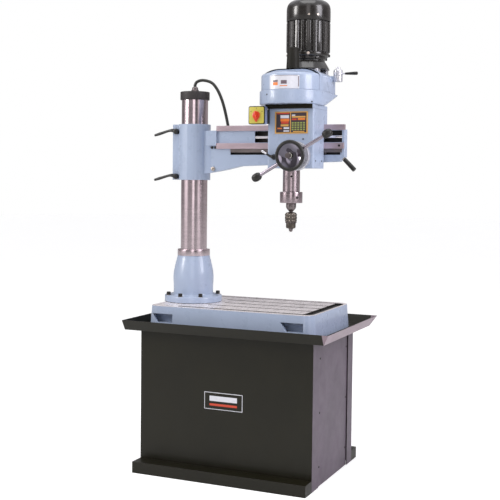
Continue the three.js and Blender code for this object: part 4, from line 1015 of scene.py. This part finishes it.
# ---- Quill, spindle, chuck and drill ----
def dress_quill():
    low, top = low_high("quill")
    radius = (HIGH["quill"].x - LOW["quill"].x) / 2
    sleeve = [(0.022, low), (radius - 1 * MM, low), (radius, low + 1 * MM), (radius, top), (0.022, top)]
    turned_piece("ground_quill", "quill", sleeve, DARK_GROUND, "quill", 96)
    low, top = low_high("quill_collar")
    collar = [(0.022, low), (0.046, low), (0.046, top), (0.0345, top), (0.0345, top - 2 * MM)]
    collar = rounded(collar, 2 * MM)
    turned_piece("depth_collar", "quill_collar", collar, DARK_GROUND, "quill", 96)
    at, normal = facing(SPINDLE, radius - 0.5 * MM, -2, 1.249)
    plug = placed(screw_head(4.5 * MM, 4.0 * MM, 1.4 * MM, 1.4 * MM, 24), at, normal)
    piece("quill_plug", plug, BLACK_STEEL, "quill")
    at, normal = facing(SPINDLE, 0.0455, 28, (low + top) / 2)
    screw = placed(socket_screw(5 * MM, 1.5 * MM), at, normal)
    piece("collar_screw", screw, BLACK_STEEL, "quill")


def dress_spindle():
    low, top = low_high("spindle")
    shoulder, neck, spline_low = 1.1407, 20.5 * MM, 1.505
    nose = [(0, low), (8 * MM, low), (8 * MM, 1.1065), (12 * MM, 1.110), (17 * MM, 1.116), (neck, 1.123)]
    nose += [(neck, shoulder), (16 * MM, shoulder), (16 * MM, spline_low), (12 * MM, spline_low)]
    nose += [(12 * MM, top), (0, top)]
    turned_piece("ground_spindle", "spindle", rounded(nose, 1 * MM, 3), GREASY, "spindle", 64)
    dress_chuck()
    dress_drill()


def round_spindle(bm, degrees):
    """Turns a part that is made at the spindle's back about the spindle's axis, and puts it there."""
    return placed(bm, (SPINDLE.x, SPINDLE.y, 0), UP, radians(degrees))


def dress_chuck():
    """A key chuck: a plain body, a knurled sleeve with a ring of key teeth, and three jaws."""
    low, top = low_high("chuck_body")
    waist = 1.065
    body = [(0, top), (12 * MM, top), (21 * MM, top - 3 * MM), (22 * MM, top - 6 * MM)]
    body += [(20.5 * MM, top - 9 * MM), (20 * MM, waist - 3 * MM), (20 * MM, low + 5 * MM)]
    body += [(17.5 * MM, low + 1.5 * MM), (10 * MM, low), (0, low)]
    body = rounded(body, 1.5 * MM, 3)
    turned_piece("chuck_core", "chuck_body", body, TOOL_STEEL, "spindle", 64)
    piece("chuck_sleeve", knurled_sleeve(waist, 1.0975), TOOL_STEEL, "spindle", smooth=25)
    teeth, jaws, holes = [], [], []
    for i in range(20):
        tooth = block((-1.4 * MM, 0.0175, waist - 6 * MM), (1.4 * MM, 0.0232, waist), 0.6 * MM, 1)
        teeth.append(round_spindle(tooth, 18 * i))
    for i in range(3):
        jaw = block((-2.6 * MM, 0.0055, low - 2.5 * MM), (2.6 * MM, 0.0105, low + 6 * MM), 0.8 * MM, 1)
        jaws.append(round_spindle(jaw, 120 * i + 20))
        at, normal = facing(SPINDLE, 0.0188, 30 + 120 * i, waist - 9 * MM)
        holes.append(placed(disc(3.5 * MM, 0.9 * MM, 24), at - normal * 2.4 * MM, normal))
    piece("chuck_teeth", teeth, GREASY, "spindle")
    piece("chuck_jaws", jaws, GREASY, "spindle")
    # Dark discs for the key holes: painted shade inside the holes.
    piece("chuck_key_holes", holes, DARK_JOINT_AND_SHADE, "spindle")


def knurled_sleeve(low, top):
    """A sleeve about the spindle with a diamond knurl that fades out at both ends."""
    knurls, twist, levels, fade_length = 9, 224, 24, 3 * MM
    rings = []
    for k in range(levels + 1):
        height = low + (top - low) * k / levels
        fade = min(1.0, (height - low) / fade_length, (top - height) / fade_length)
        ring = []
        for a in turns(192):
            wave = cos(knurls * a + twist * height) * cos(knurls * a - twist * height)
            ring.append(polar((22.6 + 0.9 * fade + 1.3 * fade * max(-0.6, wave)) * MM, a, height))
        rings.append(ring)
    return placed(bridge_rings(rings), (SPINDLE.x, SPINDLE.y, 0))


def dress_drill():
    """A twist drill, whose two flutes turn a full pitch in about its own visible length."""
    low, top = low_high("drill_bit")
    radius, pitch, point = 8 * MM, 48 * MM, low + 3 * MM
    heights = [low + 1.5 * MM] + [point + (top - point) * i / 24 for i in range(25)]
    rings = [[(SPINDLE.x, SPINDLE.y, low)]]
    for height in heights:
        size = radius * min(1.0, (height - low) / (point - low))
        twist = 2 * pi * (height - low) / pitch
        ring = []
        for a in turns(48):
            flute = 0.42 * max(0.0, cos(2 * a)) ** 1.5
            ring.append(polar(size * (1 - flute), a + twist, height, SPINDLE))
        rings.append(ring)
    drill = bridge_rings(rings)
    piece("twist_drill", drill, GREASY, "spindle", ["drill_bit"], 50)


# ---- Belt guards ----
WALL = 4 * MM
LOWER_SPINDLE_RADIUS, LOWER_MOTOR_RADIUS = 133 * MM, 128 * MM
UPPER_SPINDLE_RADIUS, UPPER_MOTOR_RADIUS = 127 * MM, 116 * MM
FRONT_STEPS, REAR_STEPS = 49, 37
SEAM = -0.151


def side_lean(front_radius, rear_radius):
    """The angle that the guard's sides, tangents to both of its circles, make with the machine's depth."""
    return math.asin((front_radius - rear_radius) / (MOTOR.y - SPINDLE.y))


def front_angles(lean):
    return [pi - lean + (pi + 2 * lean) * i / (FRONT_STEPS - 1) for i in range(FRONT_STEPS)]


def guard_ring(front_radius, rear_radius, height):
    """The outline round the spindle and the motor, whose sides are tangents to both circles."""
    lean = side_lean(front_radius, rear_radius)
    rear = [lean + (pi - 2 * lean) * i / (REAR_STEPS - 1) for i in range(REAR_STEPS)]
    ring = [polar(front_radius, a, height, SPINDLE) for a in front_angles(lean)]
    return ring + [polar(rear_radius, a, height, MOTOR) for a in rear]


def round_ring(radius, height):
    """A circle about the spindle, whose points match those of guard_ring."""
    lean = side_lean(LOWER_SPINDLE_RADIUS, LOWER_MOTOR_RADIUS)
    rear = [lean + (pi - 2 * lean) * (i + 0.5) / REAR_STEPS for i in range(REAR_STEPS)]
    return [polar(radius, a, height, SPINDLE) for a in front_angles(lean) + rear]


def between(first, second, share):
    return [Vector(a).lerp(Vector(b), share) for a, b in zip(first, second)]


def dress_lower_guard():
    """A tapered tray, round at its foot and drawn out to the motor at its brim."""
    low, top = low_high("lower_guard")
    hub, edge = 24.3 * MM, 5 * MM

    def brim(inset):
        return guard_ring(LOWER_SPINDLE_RADIUS - inset, LOWER_MOTOR_RADIUS - inset, top)

    foot = round_ring(LOWER_SPINDLE_RADIUS, low)
    inner_floor = between(round_ring(LOWER_SPINDLE_RADIUS - WALL, low + WALL), brim(WALL), 0.02)
    rings = [round_ring(hub, low + WALL), round_ring(hub, low)]
    for i in range(5):
        a = pi / 8 * i
        skin = between(foot, brim(0), edge * (1 - cos(a)) / (top - low))
        tuck = edge * (1 - sin(a))
        rings.append([point + (SPINDLE - point.xy).normalized().to_3d() * tuck for point in skin])
    rings += [between(foot, brim(0), 0.5), between(foot, brim(0), 0.965), brim(1.5 * MM), brim(WALL)]
    rings += [inner_floor, round_ring(hub, low + WALL)]
    piece("lower_belt_guard", band(rings), ENAMEL, "head", ["lower_guard"], 35)
    screws = []
    for degrees, height in ((-52, 1.5735), (33, 1.5445)):
        at, normal = facing(SPINDLE, LOWER_SPINDLE_RADIUS - 0.8 * MM, degrees, height)
        screws.append(placed(screw_head(3.4 * MM, 3.0 * MM, 2.0 * MM, 2.6 * MM), at, normal))
    piece("guard_screws", screws, BLACK_STEEL, "head")


# how the upper guard's roofs fall towards the rim: (inset from the rim, height against the top) in mm
HOUSING_EDGE = [
    (0, -31), (0.5, -28), (2.5, -24.6), (7, -20.5), (16, -14.4), (26, -9.4), (36, -5.6), (50, -2), (66, 0),
]
DOMED_EDGE = [(0, -19), (0.5, -16), (2.5, -12.8), (7, -9.2), (16, -5.6), (34, -2.4), (56, -0.6), (80, 0)]
# the cover's roof again, at the insets that HOUSING_EDGE has
COVER_LINE = [
    (0, -19), (0.5, -16), (2.5, -12.8), (7, -9.2), (16, -5.6), (26, -3.8), (36, -2.2), (50, -1), (66, -0.3),
]


def guard_shell(low, top, edge, inward=0.0):
    """The upper guard as one hollow shell, open below, whose roof follows edge."""

    def ring(inset, height):
        return guard_ring(UPPER_SPINDLE_RADIUS - inset - inward, UPPER_MOTOR_RADIUS - inset - inward, height)

    rings = [ring(WALL + inset * MM, top + fall * MM - WALL) for inset, fall in edge[::-1]]
    rings += [ring(WALL, low), ring(1 * MM, low), ring(0, low + 1 * MM)]
    rings += [ring(inset * MM, top + fall * MM) for inset, fall in edge]
    return bridge_rings(rings)


def cut_at(bm, y, keep_front):
    """Cuts a mesh by an upright plane across the machine, keeps one side and closes it."""
    geometry = list(bm.verts) + list(bm.edges) + list(bm.faces)
    bmesh.ops.bisect_plane(
        bm, geom=geometry, plane_co=(0, y, 0), plane_no=-FRONT,
        clear_outer=keep_front, clear_inner=not keep_front,
    )
    bmesh.ops.edgeloop_fill(bm, edges=[edge for edge in bm.edges if edge.is_boundary])
    return bm


def seam_section(edge, top, drop):
    """Points along a guard's rim where the seam plane cuts it, from the left to the right."""
    half = []
    for inset, fall in edge:
        radius = UPPER_SPINDLE_RADIUS - inset * MM
        half.append((math.sqrt(radius**2 - (SEAM - SPINDLE.y) ** 2), top + fall * MM - drop))
    return [(-x, z) for x, z in half] + half[::-1]


def housing_face(roof, cover_top):
    """The wall that closes the housing's front between its own roof and the front cover's lower one."""
    front, back = SEAM + 0.8 * MM, SEAM + 5 * MM
    upper = seam_section(HOUSING_EDGE, roof, 0)
    lower = seam_section(COVER_LINE, cover_top, 4.2 * MM)
    rings = []
    for (x, high), (x_low, low) in zip(upper, lower):
        x, x_low = SPINDLE.x + x, SPINDLE.x + x_low
        rings.append([(x, front, high), (x_low, front, low), (x_low, back, low), (x, back, high)])
    return bridge_rings(rings)


def dress_upper_guard():
    low, cover_top = low_high("front_guard_cover")
    cover = cut_at(guard_shell(low, cover_top, DOMED_EDGE), SEAM - 1.4 * MM, True)
    piece("guard_door", cover, ENAMEL, "head", ["front_guard_cover"], 35)
    roof = HIGH["drive_housing"].z
    housing = cut_at(guard_shell(low, roof, HOUSING_EDGE), SEAM + 0.8 * MM, False)
    piece("belt_housing", housing, ENAMEL, "head", ["drive_housing"], 35)
    # A dark strip behind the seam between the cover and the housing: painted shade in the gap.
    seam_shade = cut_at(guard_shell(low, cover_top, DOMED_EDGE, 1.2 * MM), SEAM - 3 * MM, False)
    seam_shade = cut_at(seam_shade, SEAM + 3 * MM, True)
    piece("seam_shade_strip", seam_shade, DARK_JOINT_AND_SHADE, "head")
    piece("housing_face", housing_face(roof, cover_top), ENAMEL, "head")
    reach, half, bracket_top = (-40 * MM, -12 * MM), 12 * MM, 1.668
    corners = [TENSION + Vector((reach[0], -half, 1.647)), TENSION + Vector((reach[1], half, bracket_top))]
    piece("tension_bracket", block(*corners, 3 * MM), ENAMEL, "head")
    boss = [(6.4 * MM, bracket_top), (19 * MM, bracket_top), (19 * MM, 1.644), (0, 1.644)]
    piece("tension_boss", placed(lathe(rounded(boss, 1.5 * MM), 48), TENSION), BRIGHT, "head")
    dress_nameplate()


def curved_patch(first, last, low, high, thick):
    """A thin patch on the guard's round front, between two angles in degrees off the straight front."""
    steps, straight_front = 24, -pi / 2
    inner, outer = UPPER_SPINDLE_RADIUS - 1 * MM, UPPER_SPINDLE_RADIUS + thick
    angles = [straight_front + radians(first + (last - first) * i / steps) for i in range(steps + 1)]
    sections = []
    for a in angles:
        corners = [(inner, low), (inner, high), (outer, high), (outer, low)]
        sections.append([polar(radius, a, height, SPINDLE) for radius, height in corners])
    return bridge_rings(sections)


def dress_nameplate():
    """A white plate with plain bars in place of any name."""
    low, high = 1.594, 1.6475
    piece("guard_plate", curved_patch(-24.0, 33.6, low, high, 0.5 * MM), WHITE_FILM, "head")
    dark = [
        (-19, 30, high - 2.2 * MM, high - 0.8 * MM), (31.2, 32.6, low + 8 * MM, high - 5 * MM),
        (0, 11, low + 19 * MM, low + 33 * MM), (-16, -6, low + 27 * MM, low + 35 * MM),
    ]
    warm = [(-16, -6, low + 14 * MM, low + 26 * MM), (-2, 12, low + 10 * MM, low + 13 * MM)]
    for name, colour, bars in (("guard_plate_dark", GREY_INK, dark), ("guard_plate_warm", ORANGE_INK, warm)):
        piece(name, [curved_patch(*bar, 0.8 * MM) for bar in bars], colour, "head")


def dress_spindle_cap():
    low, top = low_high("spindle_cap")
    profile = [(22.5 * MM, low), (26.5 * MM, low), (26.5 * MM, low + 4 * MM), (22.5 * MM, top), (0, top)]
    outer = rounded(profile, 3 * MM)
    inner = [(0, top - 4 * MM), (18.5 * MM, top - 4 * MM), (22.5 * MM, low)]
    turned_piece("spline_cover", "spindle_cap", outer + inner, MATT_PLASTIC, "head", 64)


def dress_tension_lever():
    """A bright swivel cap on the bracket, with a short rod and a tapered black grip to the right."""
    high = HIGH["tension_lever"]
    cap = [(0, 1.6685), (19 * MM, 1.6685), (19 * MM, 1.690), (16 * MM, 1.694), (9 * MM, 1.694)]
    cap += [(9 * MM, 1.7035), (6.5 * MM, high.z), (0, high.z)]
    cap = placed(lathe(rounded(cap, 1.2 * MM), 48), TENSION)
    piece("tension_cap", cap, BRIGHT, "tension", ["tension_lever"])
    pin = placed(disc(6 * MM, 15 * MM, 24), TENSION + UP * 1.654)
    piece("tension_pin", pin, BLACK_STEEL, "tension")
    root = TENSION + Vector((17 * MM, 0, 1.677))
    rod = sweep([root, root + RIGHT * 20 * MM], [3.2 * MM, 3.2 * MM], 20)
    piece("tension_rod", rod, CHROME, "tension")
    start = root + RIGHT * 13 * MM
    length = high.x - start.x
    grip = [(0, 0), (4.2 * MM, 0), (4.8 * MM, 6 * MM), (7 * MM, length - 12 * MM), (7 * MM, length - 3 * MM)]
    grip += [(5 * MM, length), (0, length)]
    grip = placed(lathe(rounded(grip, 2 * MM), 32), start, RIGHT)
    piece("tension_grip", grip, PLASTIC, "tension")


# ---- Motor ----
def dress_motor_mount():
    low, top = low_high("motor_mount")
    skirt = low + 12 * MM
    curve = spline([
        (0.0905, 0, skirt + 3 * MM), (0.0835, 0, skirt + 16 * MM), (0.0750, 0, skirt + 30 * MM),
        (0.0705, 0, 1.7345), (0.0755, 0, 1.7385),
    ], 6)
    profile = [(20.5 * MM, skirt), (90 * MM, skirt), (91 * MM, skirt + 1 * MM)] + [(p.x, p.z) for p in curve]
    profile += [(76 * MM, 1.7395), (76 * MM, top), (20.5 * MM, top), (20.5 * MM, skirt)]
    centre = middle("motor_mount")
    rings = [circle(radius, height, 96) for radius, height in profile]
    flare = placed(band(rings), (centre.x, centre.y, 0))
    piece("motor_flare", flare, MOTOR_BLACK, "head", ["motor_mount"])
    feet, bolts = [], []
    half, offset = 14 * MM, 54 * MM
    for x in (centre.x - offset, centre.x + offset):
        for y in (centre.y - offset, centre.y + offset):
            feet.append(block((x - half, y - half, low - 6 * MM), (x + half, y + half, skirt), 2 * MM))
    piece("mount_feet", feet, BRIGHT, "head")
    for degrees in (-20, 24, 95, -110, 180):
        at, normal = facing(MOTOR, 71 * MM, degrees, 1.7435)
        bolts.append(placed(hex_head(6 * MM, 5 * MM), at + normal * 4.5 * MM, normal))
    piece("mount_bolts", bolts, BLACK_STEEL, "head")


FIN_COUNT = 24
LUG_DEGREES = -3


def finned_ring(root, tip, height):
    """A ring of rounded fins, with a wide lug in place of four of them."""
    camera_side = math.atan2(TO_CAMERA.y, TO_CAMERA.x) + radians(LUG_DEGREES)
    quarter, half_lug = pi / 2, radians(7.5)
    ring = []
    for turn in turns(FIN_COUNT * 12):
        lift = min(1.0, max(0.0, 0.5 + cos(FIN_COUNT * turn) * 1.15))
        off = abs((turn + quarter / 2) % quarter - quarter / 2)
        if off < half_lug:
            lift = max(lift, 1.0 - (off / half_lug) ** 6)
        ring.append(polar(root + (tip - root) * lift, camera_side + turn, height, MOTOR))
    return ring


def dress_motor_body():
    low, top = low_high("motor_body")
    root, tip = 85.5 * MM, 92 * MM
    fin_low, fin_top = 1.768, 1.896
    bell = [(82 * MM, low), (84 * MM, low), (87 * MM, low + 3 * MM), (88 * MM, low + 6 * MM)]
    bell += [(88 * MM, fin_low - 3 * MM), (root, fin_low)]
    fins = [(tip - 2 * MM, fin_low + 1 * MM), (tip, fin_low + 5 * MM), (tip, fin_top - 6 * MM)]
    fins += [(tip - 2 * MM, fin_top - 1 * MM)]
    rings = [finned_ring(radius, radius, height) for radius, height in bell]
    rings += [finned_ring(root, reach, height) for reach, height in fins]
    rings += [finned_ring(root, root, height) for height in (fin_top, top)]
    body = bridge_rings(rings)
    piece("finned_motor", body, MOTOR_BLACK, "head", ["motor_body"], 35)
    screws = []
    for quarter in range(4):
        at, normal = facing(MOTOR, 86.5 * MM, LUG_DEGREES + 90 * quarter, 1.759)
        screws.append(placed(hex_head(4.8 * MM, 4.5 * MM), at + normal * 1 * MM, normal))
        screws.append(placed(disc(6 * MM, 1.2 * MM), at + normal * 0.6 * MM, normal))
    piece("bell_screws", screws, NICKEL, "head")
    at, normal = facing(MOTOR, 84 * MM, 84, 1.757)
    stud = placed(hex_head(6.5 * MM, 8 * MM), at, normal)
    piece("bell_stud", stud, BLACK_STEEL, "head")


def dress_cowl():
    low, top = low_high("motor_cowl")
    low -= 9 * MM
    radius, wall = 92.4 * MM, 2.5 * MM
    dome = spline([
        (0.0924, 0, 1.942), (0.0915, 0, 1.954), (0.0880, 0, 1.966), (0.0795, 0, 1.977), (0.0625, 0, 1.9860),
        (0.0380, 0, 1.9914), (0.0100, 0, top),
    ], 6)
    profile = [(radius - wall, low), (radius - 0.4 * MM, low), (radius, low + 0.8 * MM), (radius, 1.936)]
    profile += [(p.x, p.z) for p in dome] + [(0, top)]
    inner = [(0, top - wall), (0.060, 1.983), (0.078, 1.973), (0.0868, 1.959), (radius - wall, 1.942)]
    profile += inner + [(radius - wall, low)]
    cowl = placed(band([circle(r, z, 96) for r, z in profile]), (MOTOR.x, MOTOR.y, 0))
    piece("fan_cowl", cowl, MOTOR_BLACK, "head", ["motor_cowl"])
    screws = []
    for past_lug in (1, 24, 115, -115, 180):
        at, normal = facing(MOTOR, radius - 0.2 * MM, LUG_DEGREES + past_lug, 1.917)
        screws.append(placed(socket_screw(4.4 * MM, 3.2 * MM), at, normal))
    piece("cowl_screws", screws, NICKEL, "head")
    # Dark discs on the cowl's top stand for vent holes: painted shade inside them.
    vents = []
    for ring_radius, count in ((18 * MM, 8), (32 * MM, 14), (46 * MM, 20)):
        drop = 0.4 * MM + (top - 1.990) * (ring_radius / 46 / MM) ** 2
        for a in turns(count):
            at = polar(ring_radius, a, top - 1.2 * MM - drop, MOTOR)
            vents.append(placed(disc(3.2 * MM, 1.2 * MM, 12), at))
    piece("cowl_vents", vents, DARK_JOINT_AND_SHADE, "head")


# ---- Feed levers and traverse handwheel ----
def about_hub(profile, steps=96):
    """A turned piece about the feed axis, from (radius, y) pairs that run from the back to the front."""
    return placed(lathe([(radius, -y) for radius, y in profile], steps), FEED_HUB, FRONT)


def dress_feed():
    back, front = HIGH["feed_hub"].y, LOW["feed_hub"].y
    dial_front = -0.212
    profile = [(12.3 * MM, back), (58 * MM, back), (58 * MM, dial_front), (34 * MM, dial_front)]
    profile += [(30 * MM, dial_front - 8 * MM), (30 * MM, front), (12.3 * MM, front)]
    piece("feed_dial", about_hub(rounded(profile, 2 * MM)), BRIGHT, "feed", ["feed_hub"])
    marks = []
    for i in range(60):
        length = 7 * MM if i % 5 == 0 else 4 * MM
        tick = block((-0.35 * MM, 57.6 * MM, 0), (0.35 * MM, 58.2 * MM, length), 0.05 * MM, 1)
        at = (FEED_HUB.x, dial_front + 9 * MM, FEED_HUB.z)
        marks.append(placed(tick, at, FRONT, radians(6 * i)))
    piece("dial_marks", marks, DARK_INK, "feed")
    dress_feed_levers()


def dress_feed_levers():
    """Two bright rods in line with each other, each with a fluted black knob."""
    slope = radians(30.2)
    axis = FEED_HUB + FRONT * 0.250
    knob = [(5.6, 0, 0), (9.5, 0, 0), (12.5, 2.5, 0.3), (16.0, 9, 1), (17.0, 18, 1), (16.4, 27, 1)]
    knob += [(13.8, 34, 1), (9.5, 38.2, 0.4), (4.5, 39.7, 0)]
    for number in (1, 2):
        lever = f"feed_lever_{number}"
        side = math.copysign(1, middle(lever).x - FEED_HUB.x)
        outward = Vector((cos(slope), 0, sin(slope))) * side
        path = [axis + outward * reach * MM for reach in (24.4, 90, 154)]
        rod = sweep(path, [7.6 * MM, 7.2 * MM, 6.8 * MM], 32)
        piece(f"feed_rod_{number}", rod, SATIN, "feed", [lever])
        rings = [fluted(radius * MM, along * MM, 0.9 * flute * MM, 8, 96, 2) for radius, along, flute in knob]
        rings.append([(0, 0, 40 * MM)])
        barrel = placed(bridge_rings(rings), axis + outward * 152 * MM, outward)
        piece(f"feed_grip_{number}", barrel, PLASTIC, "feed", [f"feed_knob_{number}"], 30)


def on_wheel(radius, angle, depth):
    x, z, _ = polar(radius, angle, 0)
    return (FEED_HUB.x + x, depth, FEED_HUB.z + z)


def dress_handwheel():
    """A black rim round a dished bright disc, with a nut on the end of its shaft."""
    back, front = HIGH["handwheel"].y, LOW["handwheel"].y
    rim_radius, tube = 54.5 * MM, 7.5 * MM
    depth = (back + front) / 2 + 0.6 * MM
    rings = []
    for a in turns(96) + [0]:
        section = [(rim_radius + (tube - 0.2 * MM) * cos(b), tube * sin(b)) for b in turns(20)]
        rings.append([on_wheel(reach, a, depth + rise) for reach, rise in section])
    piece("wheel_rim", band(rings), PLASTIC, "traverse", ["handwheel"])
    piece("wheel_dish", wheel_dish(depth), DISH, "traverse")
    hub_profile = [(0, back), (16 * MM, back), (14 * MM, depth), (0, depth)]
    piece("wheel_hub", about_hub(hub_profile, 48), BLACK_STEEL, "traverse")
    centre = FEED_HUB - FRONT * depth
    nut = placed(hex_head(12.5 * MM, 6.5 * MM), centre + FRONT * 4 * MM, FRONT, 0.3)
    piece("wheel_nut", nut, ZINC, "traverse")
    stud = placed(disc(5 * MM, 12 * MM, 32, 1 * MM), centre, FRONT)
    piece("wheel_stud", stud, ZINC, "traverse")


def wheel_dish(depth):
    """A thin pressed disc whose swell is deeper along one slanting line."""
    levels, thickness = (0, 8, 14, 20, 26, 32, 38, 44, 48.5), 2.5
    rows = []
    for reaches, shift in ((levels, -1.6), (levels[::-1], thickness - 1.6)):
        for reach in reaches:
            ring = []
            for a in turns(96):
                swell = sin(pi * reach / levels[-1]) * (4.4 + 2.2 * cos(2 * a - 0.9))
                ring.append(on_wheel(reach * MM, a, depth + (swell + shift) * MM))
            rows.append(ring if reach else [ring[0]])
    return bridge_rings(rows)


add_camera()
add_world()
add_lights()
add_floor()
dress_column()
dress_stand()
panel_screws()
dress_base()
dress_foot()
dress_arm()
dress_clamp("upper_clamp_lever", "upper_clamp", "upper_handle")
dress_clamp("lower_clamp_lever", "lower_clamp", "lower_handle")
dress_head()
dress_quill()
dress_spindle()
dress_lower_guard()
dress_upper_guard()
dress_spindle_cap()
dress_tension_lever()
dress_motor_mount()
dress_motor_body()
dress_cowl()
dress_feed()
dress_handwheel()
